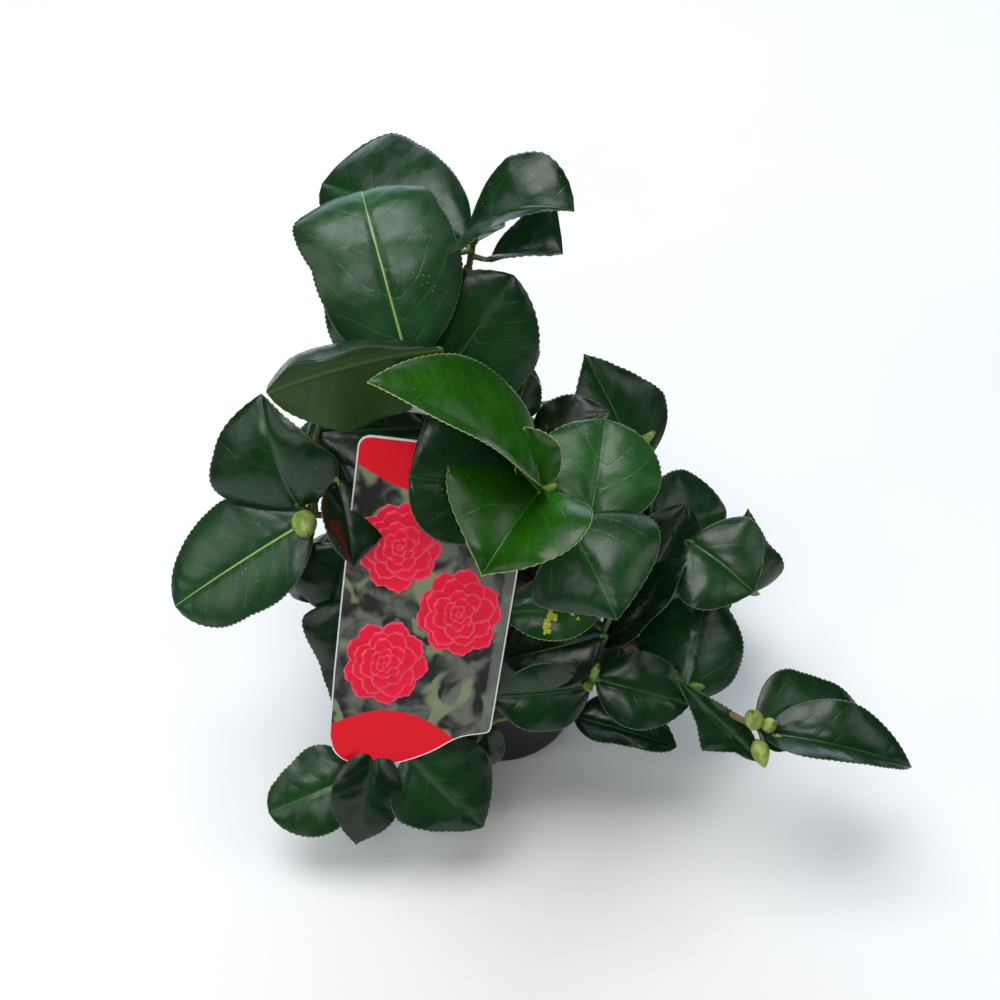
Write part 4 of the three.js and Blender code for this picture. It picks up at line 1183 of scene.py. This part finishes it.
def makeCard():
    half, length, corner, steps = card["width"] / 2, card["length"], card["corner"], 10
    outlinePoints = []
    for cx, start in ((-half + corner, 180), (half - corner, 270)):
        for k in range(steps + 1):
            a = math.radians(start + 90 * k / steps)
            outlinePoints.append((cx + corner * math.cos(a), corner + corner * math.sin(a)))
    outlinePoints += [(half, 40), (half, 90), (half, 129.5), (half - 0.4, 131.5)]
    outlinePoints += [tuple(p) for p in smoothPath(cutFoot, 6)]
    outlinePoints += [(-half + 0.3, 110), (-half, 70), (-half, 30)]
    ring = np.array(outlinePoints)
    middle = np.array([0, length * 0.45])
    sheaf = Sheaf()
    shares = [1.0, 0.985, 0.9, 0.6, 0.3, 0.001]
    rings = [middle + (ring - middle) * s for s in shares]
    flat = np.concatenate(rings)
    start, along = ring[None], (np.roll(ring, -1, 0) - ring)[None]
    t = np.clip(((flat[:, None] - start) * along).sum(2) / (along ** 2).sum(2), 0, 1)
    edge = np.linalg.norm(flat[:, None] - start - along * t[..., None], axis=2).min(1)
    n = len(ring)
    front = onCard(flat[:, 0], flat[:, 1], 0.0)
    back = onCard(flat[:, 0], flat[:, 1], -card["thickness"])
    faces = []
    for k in range(len(shares) - 1):
        for s in range(n):
            t = (s + 1) % n
            faces.append([k * n + s, (k + 1) * n + s, (k + 1) * n + t, k * n + t])
    faces = np.array(faces)
    total = len(flat)
    rim = np.array([[s, (s + 1) % n, total + (s + 1) % n, total + s] for s in range(n)])
    place = np.stack([flat[:, 0], flat[:, 1], edge], -1)
    sheaf.add(np.concatenate([front, back]), [(faces, 0), (faces[:, ::-1] + total, 1), (rim, 1)],
              np.concatenate([place, place]))
    backMaterial = mottled("card_back", "#d9dcda", "#e6e8e6", 30, (0.35, 0.45))
    piece = sheaf.mesh("label_card", [cardMaterial(), backMaterial], "cardPlace")
    sealPoles(piece)
    smoothByAngle(piece, 30)
    return piece


def addRosette(sheaf, rule, place):
    lift = 0.02
    for ring, (count, out, length, width) in enumerate(rosettes["rings"]):
        for k in range(count):
            angle = 2 * math.pi * (k + 0.5 * (ring % 2)) / count + rule.uniform(-0.12, 0.12)
            s = np.linspace(0.02, 1, 11)[:, None]
            u = np.linspace(-1, 1, 13)[None, :]
            ragged = 0.9 + 0.1 * np.cos(u * 1.9) + 0.03 * np.sin(u * 6 + k)
            reach = length * ragged * rule.uniform(0.9, 1.06)
            half = width / 2 * np.sin(math.pi * np.clip(0.12 + 0.72 * s, 0, 1)) ** 0.8
            along = rosettes["scale"] * (out - length * 0.45 + s * reach * 0.95)
            side = rosettes["scale"] * u * half
            across = place[0] + along * math.cos(angle) - side * math.sin(angle)
            down = place[1] + (along * math.sin(angle) + side * math.cos(angle)) * rosettes["tall"]
            rimGap = rosettes["scale"] * np.minimum((1 - s) * length, (1 - np.abs(u)) * half)
            dome = 0.1 * np.sin(math.pi * s) * (1 - u ** 2)
            grid = onCard(across, down, lift + dome)
            points, upper, lower, rim, _ = shell(grid, np.full(grid.shape[:2], 0.02))
            tone = np.clip(0.25 + 0.75 * s + 0 * u, 0, 1) * rule.uniform(0.75, 1.1)
            petal = np.stack([tone, rimGap + 0 * tone, np.full_like(tone, ring * 3.0 + k)], -1).reshape(-1, 3)
            sheaf.add(points, [(upper, 0), (lower, 0), (rim, 0)], np.concatenate([petal, petal]))
            lift += 0.012


def makeRosettes():  # three in a zigzag down the card
    rule = random.Random(rosettes["seed"])
    sheaf = Sheaf()
    for place in rosettes["places"]:
        addRosette(sheaf, rule, place)
    return sheaf.mesh("label_print", [petalMaterial()], "cardPlace")


strapPath = [(-22, -45.2, 206), (-21, -36, 207), (-26, -25, 206), (-37, -18, 203), (-43, -6, 200),
             (-38, 10, 199), (-28, 15, 199), (-21, 8, 200), (-18, -10, 202), (-15, -28, 204),
             (-13, -45.2, 206)]


def makeStrap():
    path = smoothPath(strapPath, 8)
    t = np.linspace(-1, 1, 5)[None, :]
    ahead = np.gradient(path, axis=0)
    ahead /= np.linalg.norm(ahead, axis=1, keepdims=True)
    up = np.array([0, 0, 1.0]) - ahead * ahead[:, 2:3]
    up /= np.linalg.norm(up, axis=1, keepdims=True)
    grid = path[:, None] + up[:, None] * (t * 2.3)[..., None]
    points, upper, lower, rim, _ = shell(grid, np.full(grid.shape[:2], 0.6))
    sheaf = Sheaf()
    sheaf.add(points, [(upper, 0), (lower, 0), (rim, 0)])
    return sheaf.mesh("hanging_strap", [strapMaterial])


handOver(makeCard(), "label", "label")
handOver(makeRosettes(), "label")
handOver(makeStrap(), "strap", "label_strap")
print("label made")


studio = {"floor": "#fcfcfc", "floorSize": 4.0, "world": "#f2f5f8", "worldStrength": 0.04}
lights = {  # watts, size in metres, where it stands and what it looks at
    "back": (20.0, (2.4, 0.8), (0.0, 1.5, 0.95), (0.0, 0.0, 0.1), "#dff0ff"),
    "overhead": (20.0, (1.1, 1.1), (-0.3, -0.05, 1.7), (0.0, 0.0, 0.1), "#ffffff"),
    "front": (5.5, (0.8, 0.5), (-0.1, -1.15, 1.4), (0.0, 0.0, 0.15), "#ffffff"),
    "left_front": (4.5, (0.9, 0.9), (-1.2, -0.8, 1.0), (0.0, 0.0, 0.12), "#ffffff"),
    "right": (3.0, (0.8, 0.8), (1.2, -0.5, 1.0), (0.0, 0.0, 0.12), "#ffffff"),
}

floorMesh = bpy.data.meshes.new("studio_floor")
reach = studio["floorSize"] / 2
corners = [(-reach, -reach, 0), (reach, -reach, 0), (reach, reach, 0), (-reach, reach, 0)]
floorMesh.from_pydata(corners, [], [(0, 1, 2, 3)])
floorMesh.materials.append(mottled("pale_paper", studio["floor"], "#f8f8f8", 300.0, (0.85, 0.9)))
floor = bpy.data.objects.new("studio_floor", floorMesh)
bpy.context.scene.collection.objects.link(floor)

for name, (watts, size, at, target, colour) in lights.items():
    lamp = bpy.data.lights.new(name, "AREA")
    lamp.shape, lamp.size, lamp.size_y = "RECTANGLE", *size
    lamp.energy, lamp.color = watts, toLinear(colour)[:3]
    holder = bpy.data.objects.new(name, lamp)
    holder.location = at
    holder.rotation_euler = (Vector(target) - Vector(at)).to_track_quat("-Z", "Y").to_euler()
    bpy.context.scene.collection.objects.link(holder)

world = bpy.data.worlds.new("soft_room")
world.use_nodes = True
world.node_tree.nodes["Background"].inputs[0].default_value = toLinear(studio["world"])
world.node_tree.nodes["Background"].inputs[1].default_value = studio["worldStrength"]
bpy.context.scene.world = world

camera = bpy.data.cameras.new("front_camera")
camera.lens, camera.sensor_width = viewpoint["lens"], 36.0
cameraStand = bpy.data.objects.new("front_camera", camera)
cameraStand.location = Vector(viewpoint["at"] * mm)
cameraStand.rotation_euler = (math.radians(90 - viewpoint["down"]), 0, 0)
bpy.context.scene.collection.objects.link(cameraStand)
bpy.context.scene.camera = cameraStand
bpy.context.scene.view_settings.view_transform = "Standard"
print("studio set")
